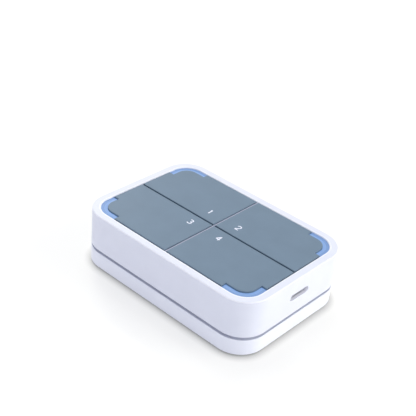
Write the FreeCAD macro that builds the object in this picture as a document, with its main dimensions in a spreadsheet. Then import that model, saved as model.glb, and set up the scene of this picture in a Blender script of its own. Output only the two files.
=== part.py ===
import FreeCAD, Part
import math
import os

import Sketcher
from FreeCAD import Placement, Rotation, Vector

# A palm-sized wireless remote with four keys, in millimetres.
# X runs along the case, with the charging slot at the +X end. Z is up, and z = 0 is
# the table that its feet stand on.

doc = FreeCAD.newDocument("ButtonRemote")
sheet = doc.addObject("Spreadsheet::Sheet", "Sizes")

DRIVING_SIZES = (
    ("case_length", 86.0, "case, along X"),
    ("case_width", 59.6, "case, along Y"),
    ("case_height", 23.6, "case, from the underside to the rim"),
    ("corner_radius", 11.1, "upright corners of the case"),
    ("foot_stand", 0.6, "how far the feet hold the case off the table"),
    ("wall", 2.0, "side walls of the housing"),
    ("rim_width", 3.4, "white rim round the keys"),
    ("rim_thickness", 3.2, "rim, from its top down to the hollow"),
    ("outer_bevel", 0.35, "bevel on the outer top and bottom edges"),
    ("inner_bevel", 0.25, "bevel on the rim's inner edge"),
    ("cover_height", 6.85, "outside height of the bottom cover"),
    ("cover_floor", 2.0, "floor of the bottom cover"),
    ("groove_height", 1.35, "shadow groove between cover and housing"),
    ("groove_depth", 1.2, "how deep the groove is"),
    ("tongue_thickness", 1.2, "tongue on the cover that closes the groove"),
    ("tongue_lap", 1.4, "how far the tongue goes into the housing"),
    ("tongue_clearance", 0.1, "round the tongue"),
    ("key_gap", 0.32, "between the keys and the rim"),
    ("bar_gap", 0.86, "between the keys, over the crossbar"),
    ("middle_gap", 0.7, "between the keys, along the case"),
    ("key_proud", 0.1, "key tops above the rim"),
    ("key_plate", 1.6, "top plate of a key"),
    ("key_skirt", 1.2, "walls under a key"),
    ("key_height", 4.0, "key, from its top to the foot of its walls"),
    ("key_bevel", 0.18, "bevel on a key's top edge"),
    ("key_rib", 0.9, "stiffening ribs under a key"),
    ("key_rib_height", 1.3, "how far the ribs reach down"),
    ("key_travel", 0.3, "travel of a key above its switch"),
    ("press_gap", 0.05, "between a key's pusher and its switch"),
    ("pusher_reach", 2.0, "arms of the cross-shaped pusher under a key"),
    ("stop_width", 4.0, "stop tab at a key's outer end"),
    ("stop_reach", 0.9, "how far the tab reaches past the key"),
    ("stop_thickness", 1.2, "stop tab, up and down"),
    ("stop_gap", 0.15, "between the tab and the rim above it"),
    ("stop_place", 7.5, "stop tab from the middle of the case"),
    ("guide_width", 2.65, "band at a window corner left free by the keys"),
    ("guide_leg_x", 12.1, "light guide along X, from the end of the window"),
    ("guide_leg_y", 11.0, "light guide along Y, from the side of the window"),
    ("guide_gap", 0.15, "between a light guide and the key beside it"),
    ("guide_fit", 0.05, "between a light guide and the rim"),
    ("guide_recess", 0.5, "light guide below the rim"),
    ("guide_thickness", 2.2, "band of the light guide"),
    ("guide_post", 1.3, "square post that brings light up from a lamp"),
    ("post_gap", 0.1, "round a post in its shelf"),
    ("post_place", 2.0, "post from the end of the light guide"),
    ("shelf_thickness", 2.0, "corner shelf under a light guide"),
    ("lamp_gap", 0.3, "between a lamp and its post"),
    ("fin_thickness", 0.56, "fin of the crossbar between the keys"),
    ("fin_drop", 0.4, "fin below the key tops"),
    ("beam_width", 2.2, "beam of the crossbar"),
    ("beam_height", 2.0, "beam of the crossbar"),
    ("axle_offset", 3.4, "key axles from the middle of the case"),
    ("axle_drop", 1.4, "key axles below the key walls"),
    ("axle_radius", 1.0, "moulded key axles"),
    ("axle_clearance", 0.08, "round an axle in its clip"),
    ("clip_wall", 0.9, "wall of a key's clip"),
    ("clip_width", 2.2, "clip along its axle"),
    ("clip_mouth", 1.6, "opening through which the clip snaps on"),
    ("clip_grip", 1.0, "how far a clip reaches below the middle of its axle"),
    ("clip_inner", 6.0, "inner clip from the middle of the case"),
    ("clip_outer", 20.0, "outer clip from the middle of the case"),
    ("web_thickness", 1.0, "webs from the beam to the axles"),
    ("web_width", 2.0, "webs along the axles"),
    ("web_place", 13.0, "outer webs from the middle of the case"),
    ("slot_length", 10.5, "charging slot, across the end wall"),
    ("slot_height", 2.6, "charging slot"),
    ("slot_drop", 7.6, "middle of the slot below the rim"),
    ("slot_wall", 1.2, "end wall left in front of the socket"),
    ("socket_length", 7.35, "charging socket, along X"),
    ("socket_width", 8.94, "charging socket"),
    ("socket_height", 3.26, "charging socket"),
    ("socket_skin", 0.34, "sheet metal of the socket"),
    ("socket_gap", 0.1, "between the socket and the end wall"),
    ("socket_clearance", 0.3, "round the socket in its recess"),
    ("tongue_plate", 0.7, "thickness of the contact tongue"),
    ("tongue_width", 6.7, "contact tongue, across"),
    ("tongue_root", 1.5, "thick root of the contact tongue"),
    ("tongue_short", 0.9, "contact tongue behind the socket's mouth"),
    ("board_thickness", 1.6, "circuit board"),
    ("board_gap", 0.8, "between the board and the walls"),
    ("notch_gap", 0.5, "board round the corner posts"),
    ("post_inset", 7.2, "corner posts from the outside of the case"),
    ("post_side", 5.6, "square corner posts of the case"),
    ("screw_radius", 1.25, "case screw shank"),
    ("screw_length", 10.0, "case screw shank"),
    ("screw_head_radius", 2.2, "case screw head"),
    ("screw_head_height", 1.6, "case screw head"),
    ("screw_seat", 4.0, "seat of the case screws above the underside"),
    ("thread_gap", 0.02, "round a screw in its pilot hole"),
    ("pilot_spare", 0.8, "pilot hole beyond the end of its screw"),
    ("hole_gap", 0.2, "round a screw or its head in a clear hole"),
    ("foot_radius", 3.8, "rubber foot"),
    ("board_boss_place", 12.0, "board bosses from the middle of the case"),
    ("board_boss_inset", 5.0, "board bosses from the outside of the case"),
    ("board_boss_side", 4.4, "square board bosses"),
    ("board_boss_height", 4.2, "board bosses"),
    ("board_screw_radius", 1.0, "board screw shank"),
    ("board_screw_length", 4.6, "board screw shank"),
    ("board_screw_head_radius", 1.9, "board screw head"),
    ("board_screw_head_height", 1.2, "board screw head"),
    ("switch_inset_x", 16.0, "middle of a switch from the end of the case"),
    ("switch_inset_y", 16.6, "middle of a switch from the side of the case"),
    ("switch_side", 6.0, "switch body"),
    ("switch_height", 3.5, "switch body"),
    ("switch_total", 5.0, "switch with its plunger"),
    ("switch_leg", 0.7, "width of a switch's solder legs"),
    ("switch_leg_thickness", 0.35, "solder legs"),
    ("switch_leg_reach", 1.1, "how far the legs stand out"),
    ("switch_leg_inset", 0.75, "middle of a leg from the side of its switch"),
    ("plunger_radius", 1.7, "switch plunger"),
    ("plunger_depth", 1.0, "how deep the plunger sits in its switch"),
    ("plunger_gap", 0.08, "round the plunger"),
    ("lamp_length", 1.6, "corner lamp"),
    ("lamp_width", 1.2, "corner lamp"),
    ("lamp_height", 0.7, "corner lamp"),
    ("module_length", 16.6, "radio module, along X"),
    ("module_width", 13.2, "radio module"),
    ("module_thickness", 0.8, "radio module's own board"),
    ("module_inset", 0.8, "radio module from the end of the board"),
    ("shield_length", 9.6, "shield can"),
    ("shield_width", 11.0, "shield can"),
    ("shield_height", 1.8, "shield can"),
    ("chip_side", 4.0, "charger chip"),
    ("chip_height", 0.9, "charger chip"),
    ("chip_inset", 21.0, "charger chip from the end of the case"),
    ("coil_side", 4.6, "power coil beside the chip"),
    ("coil_height", 2.2, "power coil"),
    ("coil_gap", 0.8, "between the coil and the chip"),
    ("capacitor_length", 1.6, "capacitors"),
    ("capacitor_width", 0.8, "capacitors"),
    ("capacitor_height", 0.8, "capacitors"),
    ("capacitor_pitch", 2.4, "from one capacitor to the next"),
    ("cell_length", 50.0, "battery cell"),
    ("cell_width", 34.0, "battery cell"),
    ("cell_thickness", 6.0, "battery cell"),
    ("cell_round", 1.6, "long edges of the battery cell"),
    ("pad_thickness", 1.0, "foam pad under the battery cell"),
    ("pad_margin", 3.0, "foam pad inside the cell's outline"),
    ("fence_height", 3.0, "fence round the battery cell"),
    ("fence_thickness", 1.2, "fence round the battery cell"),
    ("fence_gap", 0.3, "between the fence and the cell"),
    ("plug_inset", 9.0, "battery plug from the end of the case"),
    ("plug_y", 10.0, "battery plug from the middle of the case"),
    ("header_length", 8.0, "battery header, along Y"),
    ("header_width", 6.0, "battery header, along X"),
    ("header_height", 4.6, "battery header"),
    ("header_wall", 0.8, "walls of the battery header"),
    ("plug_gap", 0.05, "round the plug in its header"),
    ("plug_out", 2.0, "how far the plug stands out of its header"),
    ("lead_radius", 0.6, "battery leads, from the middle to the corners of the section"),
    ("lead_pitch", 2.0, "between the two leads"),
    ("lead_run", 14.0, "where the leads leave the cell, before the plug's face"),
)


class Size:
    """A length with its formula over the Sizes sheet and its present value."""

    def __init__(self, formula, value):
        self.formula = formula
        self.value = value

    def joined(self, other, sign, value):
        formula = other.formula if isinstance(other, Size) else repr(float(other))
        return Size(f"({self.formula} {sign} {formula})", value)

    def __add__(self, other):
        return self.joined(other, "+", self.value + plain(other))

    def __sub__(self, other):
        return self.joined(other, "-", self.value - plain(other))

    def __mul__(self, other):
        return self.joined(other, "*", self.value * plain(other))

    def __truediv__(self, other):
        return self.joined(other, "/", self.value / plain(other))

    def __neg__(self):
        return self * -1


def plain(size):
    return size.value if isinstance(size, Size) else float(size)


class Driving:
    """Every cell of the sheet as a Size, by its alias."""


d = Driving()
for row, (alias, value, note) in enumerate(DRIVING_SIZES, start=1):
    sheet.set(f"A{row}", note)
    sheet.set(f"B{row}", str(value))
    sheet.setAlias(f"B{row}", alias)
    setattr(d, alias, Size(f"Sizes.{alias}", value))
doc.recompute()

# Levels and lines that several pieces share.
zero = Size("0", 0.0)
half_length = d.case_length / 2
half_width = d.case_width / 2
underside = d.foot_stand
cover_top = underside + d.cover_height
floor_top = underside + d.cover_floor
housing_foot = cover_top + d.groove_height
tongue_top = housing_foot + d.tongue_lap
rim_top = underside + d.case_height
rim_under = rim_top - d.rim_thickness
window_x = half_length - d.rim_width
window_y = half_width - d.rim_width
window_radius = d.corner_radius - d.rim_width
inner_x = half_length - d.wall
inner_y = half_width - d.wall
embed = d.wall / 4
key_top = rim_top + d.key_proud
plate_under = key_top - d.key_plate
key_foot = key_top - d.key_height
key_end_x = window_x - d.key_gap
key_end_y = window_y - d.key_gap
guide_top = rim_top - d.guide_recess
guide_under = guide_top - d.guide_thickness
shelf_under = guide_under - d.shelf_thickness
notch_x = window_x - d.guide_width
notch_y = window_y - d.guide_width
notch_radius = window_radius - d.guide_width
leg_end_x = window_x - d.guide_leg_x
leg_end_y = window_y - d.guide_leg_y
axle_z = key_foot - d.axle_drop
slot_z = rim_top - d.slot_drop
board_top = slot_z - d.socket_height / 2
board_under = board_top - d.board_thickness
post_x = half_length - d.post_inset
post_y = half_width - d.post_inset
screw_seat = underside + d.screw_seat
board_boss_y = half_width - d.board_boss_inset
switch_x = half_length - d.switch_inset_x
switch_y = half_width - d.switch_inset_y
switch_top = board_top + d.switch_height
plunger_top = board_top + d.switch_total
lamp_top = board_top + d.lamp_height
plug_x = half_length - d.plug_inset

# The keys are numbered as they are read: 1 and 2 along the +Y side, 3 and 4 along the -Y side.
CORNERS = ((-1, 1), (1, 1), (-1, -1), (1, -1))

# The cover is screwed on at two opposite posts, and the board at two bosses, one on each long wall.
CASE_SCREWS = ((1, 1), (-1, -1))
BOARD_SCREWS = ((-1, 1), (1, -1))

# How near an edge has to be to a level or a face to count as lying on it.
tolerance = 1e-3

# A bend in a lead starts this share of the shorter run away from its corner.
bend_share = 0.45

# A lead's section is drawn with this many flats.
lead_flats = 6


class Disc:
    """A full circle in a sketch."""

    def __init__(self, x, y, radius):
        self.x, self.y, self.radius = x, y, radius


class Slot:
    """A shape with fully round ends, level in its sketch and centred at (0, y)."""

    def __init__(self, half_x, half_y, y):
        self.half_x, self.half_y, self.y = half_x, half_y, y


def new_body(name):
    body = doc.addObject("PartDesign::Body", name)
    body.Label = name
    return body


def new_sketch(body, name, plane, offset):
    """A sketch on one of the body's own origin planes, moved along the plane's normal."""
    sketch = body.newObject("Sketcher::SketchObject", name)
    for datum in body.Origin.OriginFeatures:
        if datum.Role == plane:
            sketch.AttachmentSupport = [(datum, "")]
    sketch.MapMode = "FlatFace"
    sketch.setExpression("AttachmentOffset.Base.z", offset.formula)
    return sketch


def bind(sketch, constraint, size, label):
    """Add a dimension and put its formula behind it."""
    index = sketch.addConstraint(constraint)
    sketch.renameConstraint(index, label)
    sketch.setExpression(f"Constraints.{label}", size.formula)


def hold(sketch, axis, geometry, point, size, label):
    """Dimension one point from the sketch's origin along x or y."""
    if size is zero:
        line = -2 if axis == "X" else -1
        sketch.addConstraint(Sketcher.Constraint("PointOnObject", geometry, point, line))
        return
    ends = (-1, 1, geometry, point)
    if size.value < 0:
        ends, size = ends[2:] + ends[:2], -size
    bind(sketch, Sketcher.Constraint("Distance" + axis, *ends, size.value), size, label)


def draw_disc(sketch, disc, label):
    centre = Vector(plain(disc.x), plain(disc.y), 0)
    ring = sketch.addGeometry(Part.Circle(centre, Vector(0, 0, 1), disc.radius.value), False)
    hold(sketch, "X", ring, 3, disc.x, label + "x")
    hold(sketch, "Y", ring, 3, disc.y, label + "y")
    bind(sketch, Sketcher.Constraint("Radius", ring, disc.radius.value), disc.radius, label + "radius")


def draw_slot(sketch, slot, label):
    reach = slot.half_x - slot.half_y
    x, height, y = reach.value, slot.half_y.value, slot.y.value
    turn = math.pi / 2
    circles = [Part.Circle(Vector(side * x, y, 0), Vector(0, 0, 1), height) for side in (1, -1)]
    shapes = (
        Part.LineSegment(Vector(-x, y - height, 0), Vector(x, y - height, 0)),
        Part.ArcOfCircle(circles[0], -turn, turn),
        Part.LineSegment(Vector(x, y + height, 0), Vector(-x, y + height, 0)),
        Part.ArcOfCircle(circles[1], turn, turn * 3),
    )
    low, right, high, left = (sketch.addGeometry(shape, False) for shape in shapes)
    for first, second in ((low, right), (right, high), (high, left), (left, low)):
        sketch.addConstraint(Sketcher.Constraint("Tangent", first, 2, second, 1))
    sketch.addConstraint(Sketcher.Constraint("Horizontal", low))
    hold(sketch, "Y", right, 3, slot.y, label + "middle")
    hold(sketch, "X", right, 3, reach, label + "right_end")
    hold(sketch, "X", left, 3, -reach, label + "left_end")
    bind(sketch, Sketcher.Constraint("Radius", right, height), slot.half_y, label + "end_round")


def draw_outline(sketch, corners, label):
    """A closed outline of level and upright sides. Each corner is (x, y, radius or None)."""
    count = len(corners)
    points = [Vector(plain(x), plain(y), 0) for x, y, radius in corners]
    starts, ends, arcs = [], [], {}
    for i, (x, y, radius) in enumerate(corners):
        before = (points[i - 1] - points[i]).normalize()
        after = (points[(i + 1) % count] - points[i]).normalize()
        reach = radius.value if radius else 0.0
        ends.append(points[i] + before * reach)
        starts.append(points[i] + after * reach)
        if radius:
            centre = points[i] + (before + after) * reach
            leftward = before.cross(after).z < 0
            tips = (ends[i], starts[i]) if leftward else (starts[i], ends[i])
            turns = [math.atan2(tip.y - centre.y, tip.x - centre.x) for tip in tips]
            circle = Part.Circle(centre, Vector(0, 0, 1), reach)
            arcs[i] = (Part.ArcOfCircle(circle, *turns), (1, 2) if leftward else (2, 1))
    lines = []
    for i in range(count):
        line = Part.LineSegment(starts[i], ends[(i + 1) % count])
        lines.append(sketch.addGeometry(line, False))
    for i, (x, y, radius) in enumerate(corners):
        into, out = lines[i - 1], lines[i]
        if radius:
            shape, (first, last) = arcs[i]
            arc = sketch.addGeometry(shape, False)
            sketch.addConstraint(Sketcher.Constraint("Tangent", into, 2, arc, first))
            sketch.addConstraint(Sketcher.Constraint("Tangent", arc, last, out, 1))
            bind(sketch, Sketcher.Constraint("Radius", arc, radius.value), radius, f"{label}round{i}")
        else:
            sketch.addConstraint(Sketcher.Constraint("Coincident", into, 2, out, 1))
    for i in range(count):
        run = points[(i + 1) % count] - points[i]
        level = abs(run.x) > abs(run.y)
        sketch.addConstraint(Sketcher.Constraint("Horizontal" if level else "Vertical", lines[i]))
        hold(sketch, "Y" if level else "X", lines[i], 1, corners[i][1 if level else 0], f"{label}side{i}")


def rectangle(half_x, half_y, radius=None, x=zero, y=zero):
    """Corners of a rectangle about (x, y), rounded where a radius is given."""
    turns = ((-1, -1), (1, -1), (1, 1), (-1, 1))
    return [(x + half_x * a, y + half_y * b, radius) for a, b in turns]


def extrude(body, name, kind, profiles, low, high, plane="XY_Plane"):
    """Carry closed profiles from the low level up to the high one, as a Pad or a Pocket."""
    sketch = new_sketch(body, name + "_sketch", plane, low)
    for i, profile in enumerate(profiles, start=1):
        draw = {Disc: draw_disc, Slot: draw_slot}.get(type(profile), draw_outline)
        draw(sketch, profile, f"p{i}_")
    feature = body.newObject("PartDesign::" + kind, name)
    feature.Profile = sketch
    feature.Reversed = kind == "Pocket"
    feature.setExpression("Length", (high - low).formula)
    return feature


def pad(body, name, profiles, low, high, plane="XY_Plane"):
    return extrude(body, name, "Pad", profiles, low, high, plane)


def pocket(body, name, profiles, low, high, plane="XY_Plane"):
    return extrude(body, name, "Pocket", profiles, low, high, plane)


def place(feature, x, y, z):
    for axis, size in (("x", x), ("y", y), ("z", z)):
        feature.setExpression(f"Placement.Base.{axis}", size.formula)


def block(body, name, x, y, z, cut=False):
    """A box between pairs of sizes, by itself where the body is None."""
    if body is None:
        feature = doc.addObject("Part::Box", name)
    else:
        kind = "SubtractiveBox" if cut else "AdditiveBox"
        feature = body.newObject("PartDesign::" + kind, name)
    spans = [pair if plain(pair[0]) < plain(pair[1]) else pair[::-1] for pair in (x, y, z)]
    for side, (low, high) in zip(("Length", "Width", "Height"), spans):
        feature.setExpression(side, (high - low).formula)
    place(feature, spans[0][0], spans[1][0], spans[2][0])
    return feature


def barrel(body, name, x, y, z, radius, cut=False):
    """A round bar along Y between the pair of sizes y."""
    low, high = y if plain(y[0]) < plain(y[1]) else y[::-1]
    kind = "SubtractiveCylinder" if cut else "AdditiveCylinder"
    feature = body.newObject("PartDesign::" + kind, name)
    feature.Placement = Placement(Vector(), Rotation(Vector(1, 0, 0), -90))
    feature.setExpression("Radius", radius.formula)
    feature.setExpression("Height", (high - low).formula)
    place(feature, x, low, z)
    return feature


def rod(name, x, y, z, radius):
    """An upright cylinder by itself, between the pair of heights z."""
    feature = doc.addObject("Part::Cylinder", name)
    feature.setExpression("Radius", radius.formula)
    feature.setExpression("Height", (z[1] - z[0]).formula)
    place(feature, x, y, z[0])
    return feature


def about(middle, width):
    """The pair of sizes half a width to each side of a middle."""
    return middle - width / 2, middle + width / 2


def square(x, y, side_x, side_y):
    """Corners of a plain rectangle about (x, y), from its full sides."""
    return rectangle(side_x / 2, side_y / 2, None, x, y)


def between(x, y):
    """Corners of a plain rectangle between two pairs of sizes."""
    return [(x[0], y[0], None), (x[1], y[0], None), (x[1], y[1], None), (x[0], y[1], None)]


def bevel_edges(body, name, size, chosen):
    """Bevel every edge of the body for which chosen(edge) holds."""
    doc.recompute()
    base = body.Tip
    names = [f"Edge{i}" for i, edge in enumerate(base.Shape.Edges, start=1) if chosen(edge)]
    if not names:
        raise RuntimeError(f"{body.Label}: no edge to bevel for {name}")
    bevel = body.newObject("PartDesign::Chamfer", name)
    bevel.Base = (base, names)
    bevel.setExpression("Size", size.formula)
    return bevel


def at_level(edge, z):
    box = edge.BoundBox
    return abs(box.ZMin - z.value) < tolerance and abs(box.ZMax - z.value) < tolerance


def is_on(edge, radius):
    """True for an edge on the upright wall that has this corner radius, round the case's own corners."""
    point = edge.valueAt((edge.FirstParameter + edge.LastParameter) / 2)
    over_x = abs(point.x) - (half_length - d.corner_radius).value
    over_y = abs(point.y) - (half_width - d.corner_radius).value
    reach = max(over_x, over_y) if min(over_x, over_y) < 0 else math.hypot(over_x, over_y)
    return abs(reach - radius.value) < tolerance


def is_outside(edge):
    return is_on(edge, d.corner_radius)


def is_on_window(edge):
    return is_on(edge, window_radius)


def group(name, members):
    """Separate solids that share one node."""
    compound = doc.addObject("Part::Compound", name)
    compound.Label = name
    compound.Links = members
    return compound


def case_outline(inset):
    return rectangle(half_length - inset, half_width - inset, d.corner_radius - inset)


def in_corners(make):
    """One thing for each corner of the case, from its two signs."""
    return [make(a, b) for a, b in CORNERS]


def turned(corners, a, b):
    """An outline drawn for the +X +Y corner, carried to another corner."""
    return [(x * a, y * b, radius) for x, y, radius in corners]


def guide_outline(a, b, outer_x, outer_y, outer_radius):
    """The L-shaped band at a window corner, from the key's notch out to the given lines."""
    end_x, end_y = leg_end_x + d.guide_gap, leg_end_y + d.guide_gap
    near_x, near_y = notch_x + d.guide_gap, notch_y + d.guide_gap
    corners = (
        (end_x, outer_y, None),
        (outer_x, outer_y, outer_radius),
        (outer_x, end_y, None),
        (near_x, end_y, None),
        (near_x, near_y, notch_radius + d.guide_gap),
        (end_x, near_y, None),
    )
    return turned(corners, a, b)


def key_outline(a, b, inset):
    """One quarter of the window less the notch for its light guide, drawn in by the inset."""
    low_x, low_y = d.bar_gap / 2 + inset, d.middle_gap / 2 + inset
    high_x, high_y = key_end_x - inset, key_end_y - inset
    step_x, step_y = notch_x - inset, notch_y - inset
    corners = (
        (low_x, low_y, None),
        (high_x, low_y, None),
        (high_x, leg_end_y - inset, None),
        (step_x, leg_end_y - inset, None),
        (step_x, step_y, notch_radius - inset),
        (leg_end_x - inset, step_y, None),
        (leg_end_x - inset, high_y, None),
        (low_x, high_y, None),
    )
    return turned(corners, a, b)


def post_places(a, b):
    """Where the two posts of a light guide stand, one near the end of each leg."""
    line = (d.guide_width - d.guide_gap) / 2
    along_x = (leg_end_x + d.guide_gap + d.post_place, window_y - line)
    along_y = (window_x - line, leg_end_y + d.guide_gap + d.post_place)
    return [(x * a, y * b) for x, y in (along_x, along_y)]


def make_housing():
    """The white upper shell: side walls, rim, corner shelves, posts, bosses and crossbar."""
    body = new_body("upper_housing")
    rebate = case_outline(d.groove_depth - d.tongue_clearance)
    pad(body, "housing_block", [case_outline(zero)], housing_foot, rim_top)
    pocket(body, "housing_hollow", [case_outline(d.wall)], housing_foot, rim_under)
    pocket(body, "housing_window", [case_outline(d.rim_width)], rim_under, rim_top)
    pocket(body, "tongue_rebate", [rebate], housing_foot, tongue_top)
    add_shelves(body)
    add_corner_posts(body)
    add_board_bosses(body)
    add_crossbar(body)
    cut_charging_slot(body)
    bevel_edges(body, "rim_outer_bevel", d.outer_bevel,
                lambda edge: at_level(edge, rim_top) and is_outside(edge))
    bevel_edges(body, "rim_inner_bevel", d.inner_bevel,
                lambda edge: at_level(edge, rim_top) and is_on_window(edge))
    return body


def add_shelves(body):
    """Shelves in the window corners, with a square hole for each post of the light guides."""
    reach_x, reach_y = inner_x + embed, inner_y + embed
    radius = d.corner_radius - d.wall + embed
    shelves = in_corners(lambda a, b: guide_outline(a, b, reach_x, reach_y, radius))
    pad(body, "guide_shelves", shelves, shelf_under, guide_under)
    side = d.guide_post + d.post_gap * 2
    holes = [square(x, y, side, side) for a, b in CORNERS for x, y in post_places(a, b)]
    pocket(body, "post_holes", holes, shelf_under, guide_under)


def screw_discs(radius):
    """A circle about each case screw."""
    return [Disc(post_x * a, post_y * b, radius) for a, b in CASE_SCREWS]


def post_squares():
    """A square post in each corner."""
    return in_corners(lambda a, b: square(post_x * a, post_y * b, d.post_side, d.post_side))


def add_corner_posts(body):
    """Four square posts up to the shelves, two of them drilled for the case screws."""
    pad(body, "corner_posts", post_squares(), tongue_top, shelf_under)
    pocket(body, "screw_pilots", screw_discs(d.screw_radius + d.thread_gap), tongue_top,
           screw_seat + d.screw_length + d.pilot_spare)


def board_discs(radius):
    """A circle about each board screw."""
    return [Disc(d.board_boss_place * a, board_boss_y * b, radius) for a, b in BOARD_SCREWS]


def add_board_bosses(body):
    """Two short square bosses on the long walls, that the board is screwed up to."""
    along = (board_boss_y - d.board_boss_side / 2, inner_y + embed)
    boss = between(about(d.board_boss_place, d.board_boss_side), along)
    pad(body, "board_bosses", [turned(boss, a, b) for a, b in BOARD_SCREWS],
        board_top, board_top + d.board_boss_height)
    pocket(body, "board_pilots", board_discs(d.board_screw_radius + d.thread_gap), board_top,
           board_under + d.board_screw_length + d.pilot_spare)


def add_crossbar(body):
    """The bar across the window: a thin fin between the keys, a beam, and two round axles."""
    end = inner_y + embed
    span = (-end, end)
    block(body, "crossbar_fin", about(zero, d.fin_thickness), span, (axle_z, key_top - d.fin_drop))
    block(body, "crossbar_beam", about(zero, d.beam_width), span, about(axle_z, d.beam_height))
    for name, side in (("key_axle_left", -1), ("key_axle_right", 1)):
        barrel(body, name, d.axle_offset * side, span, axle_z, d.axle_radius)
    webs = [square(zero, y, d.axle_offset * 2, d.web_width) for y in (-d.web_place, zero, d.web_place)]
    low, high = about(axle_z, d.web_thickness)
    pad(body, "axle_webs", webs, low, high)


def cut_charging_slot(body):
    """The slot in the +X wall, and the recess behind it that takes the socket's front."""
    front = half_length - d.slot_wall
    across = about(zero, d.socket_width + d.socket_clearance * 2)
    upward = about(slot_z, d.socket_height + d.socket_clearance * 2)
    block(body, "socket_recess", (inner_x - embed, front), across, upward, cut=True)
    slot = Slot(d.slot_length / 2, d.slot_height / 2, slot_z)
    pocket(body, "charging_slot", [slot], front - embed, half_length + embed, "YZ_Plane")


def make_cover():
    """The white bottom cover: floor, side wall, tongue, corner posts and battery fence."""
    body = new_body("bottom_cover")
    pad(body, "cover_block", [case_outline(zero)], underside, cover_top)
    pad(body, "cover_tongue", [case_outline(d.groove_depth)], floor_top, tongue_top)
    pocket(body, "cover_hollow", [case_outline(d.groove_depth + d.tongue_thickness)], floor_top, tongue_top)
    bay_x = d.cell_length / 2 + d.fence_gap
    bay_y = d.cell_width / 2 + d.fence_gap
    fence = d.fence_thickness
    fence_top = floor_top + d.fence_height
    pad(body, "battery_fence", [rectangle(bay_x + fence, bay_y + fence)], floor_top, fence_top)
    pocket(body, "battery_bay", [rectangle(bay_x, bay_y)], floor_top, fence_top)
    pad(body, "cover_posts", post_squares(), floor_top, tongue_top)
    pocket(body, "head_bores", screw_discs(d.screw_head_radius + d.hole_gap), underside, screw_seat)
    pocket(body, "screw_bores", screw_discs(d.screw_radius + d.hole_gap), screw_seat, tongue_top)
    bevel_edges(body, "underside_bevel", d.outer_bevel,
                lambda edge: at_level(edge, underside) and is_outside(edge))
    return body


def make_key(index, a, b):
    """One key: plate, walls, ribs, pusher, two clips for its axle and a stop tab."""
    name = f"key_{index}"
    body = new_body(name)
    pad(body, name + "_block", [key_outline(a, b, zero)], key_foot, key_top)
    pocket(body, name + "_hollow", [key_outline(a, b, d.key_skirt)], key_foot, plate_under)
    add_key_ribs(body, name, a, b)
    pad(body, name + "_pusher", [pusher_outline(a, b)], plunger_top + d.press_gap, plate_under)
    stop_top = rim_under - d.stop_gap
    block(body, name + "_stop", ((key_end_x - d.key_skirt) * a, (key_end_x + d.stop_reach) * a),
          about(d.stop_place * b, d.stop_width), (stop_top - d.stop_thickness, stop_top))
    add_clips(body, name, a, b)
    bevel_edges(body, name + "_top_bevel", d.key_bevel, lambda edge: at_level(edge, key_top))
    return body


def pusher_outline(a, b):
    """An upright cross above the switch, where the long rib meets the outer one."""
    half, reach = d.key_rib / 2, d.pusher_reach
    arm = [(half, -reach), (half, -half), (reach, -half)]
    turns = ((1, 0), (0, 1), (-1, 0), (0, -1))
    corners = [(x * c - y * s, x * s + y * c) for c, s in turns for x, y in arm]
    return [(switch_x * a + x, switch_y * b + y, None) for x, y in corners]


def add_key_ribs(body, name, a, b):
    """One rib along the key and two across it, under the plate."""
    foot = plate_under - d.key_rib_height
    middle = d.key_skirt / 2
    low_x, low_y = d.bar_gap / 2 + middle, d.middle_gap / 2 + middle
    long_rib = between((low_x, key_end_x - middle), about(switch_y, d.key_rib))
    pad(body, name + "_long_rib", [turned(long_rib, a, b)], foot, plate_under)
    inner_rib = between(about(switch_x / 2, d.key_rib), (low_y, key_end_y - middle))
    outer_rib = between(about(switch_x, d.key_rib), (low_y, notch_y - middle))
    pad(body, name + "_cross_ribs", [turned(rib, a, b) for rib in (inner_rib, outer_rib)], foot, plate_under)


def add_clips(body, name, a, b):
    """Two clips that hang from the plate and snap over the round axle."""
    bore = d.axle_radius + d.axle_clearance
    x = d.axle_offset * a
    foot = axle_z - d.clip_grip
    side = (bore + d.clip_wall) * 2
    arms = [square(x, y * b, side, d.clip_width) for y in (d.clip_inner, d.clip_outer)]
    pad(body, name + "_clip_arms", arms, foot, plate_under)
    span = ((d.clip_inner - d.clip_width) * b, (d.clip_outer + d.clip_width) * b)
    barrel(body, name + "_clip_bore", x, span, axle_z, bore, cut=True)
    block(body, name + "_clip_mouth", about(x, d.clip_mouth), span, (foot, axle_z), cut=True)


def make_light_guide(index, a, b):
    """One clear corner strip with its two posts."""
    name = f"light_guide_{index}"
    body = new_body(name)
    fit = d.guide_fit
    band = guide_outline(a, b, window_x - fit, window_y - fit, window_radius - fit)
    pad(body, name + "_band", [band], guide_under, guide_top)
    posts = [square(x, y, d.guide_post, d.guide_post) for x, y in post_places(a, b)]
    pad(body, name + "_posts", posts, lamp_top + d.lamp_gap, guide_under)
    return body


def make_board():
    """The circuit board, with square notches for the corner posts, drilled for its own screws."""
    body = new_body("circuit_board")
    end_x, end_y = inner_x - d.board_gap, inner_y - d.board_gap
    space = d.post_side / 2 + d.notch_gap
    step_x, step_y = post_x - space, post_y - space
    quarter = [(end_x, step_y), (step_x, step_y), (step_x, end_y)]
    corners = []
    for a, b in ((1, 1), (-1, 1), (-1, -1), (1, -1)):
        corners += [(x * a, y * b, None) for x, y in quarter[::a * b]]
    pad(body, "board_plate", [corners], board_under, board_top)
    pocket(body, "board_holes", board_discs(d.board_screw_radius + d.hole_gap), board_under, board_top)
    return body


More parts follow.
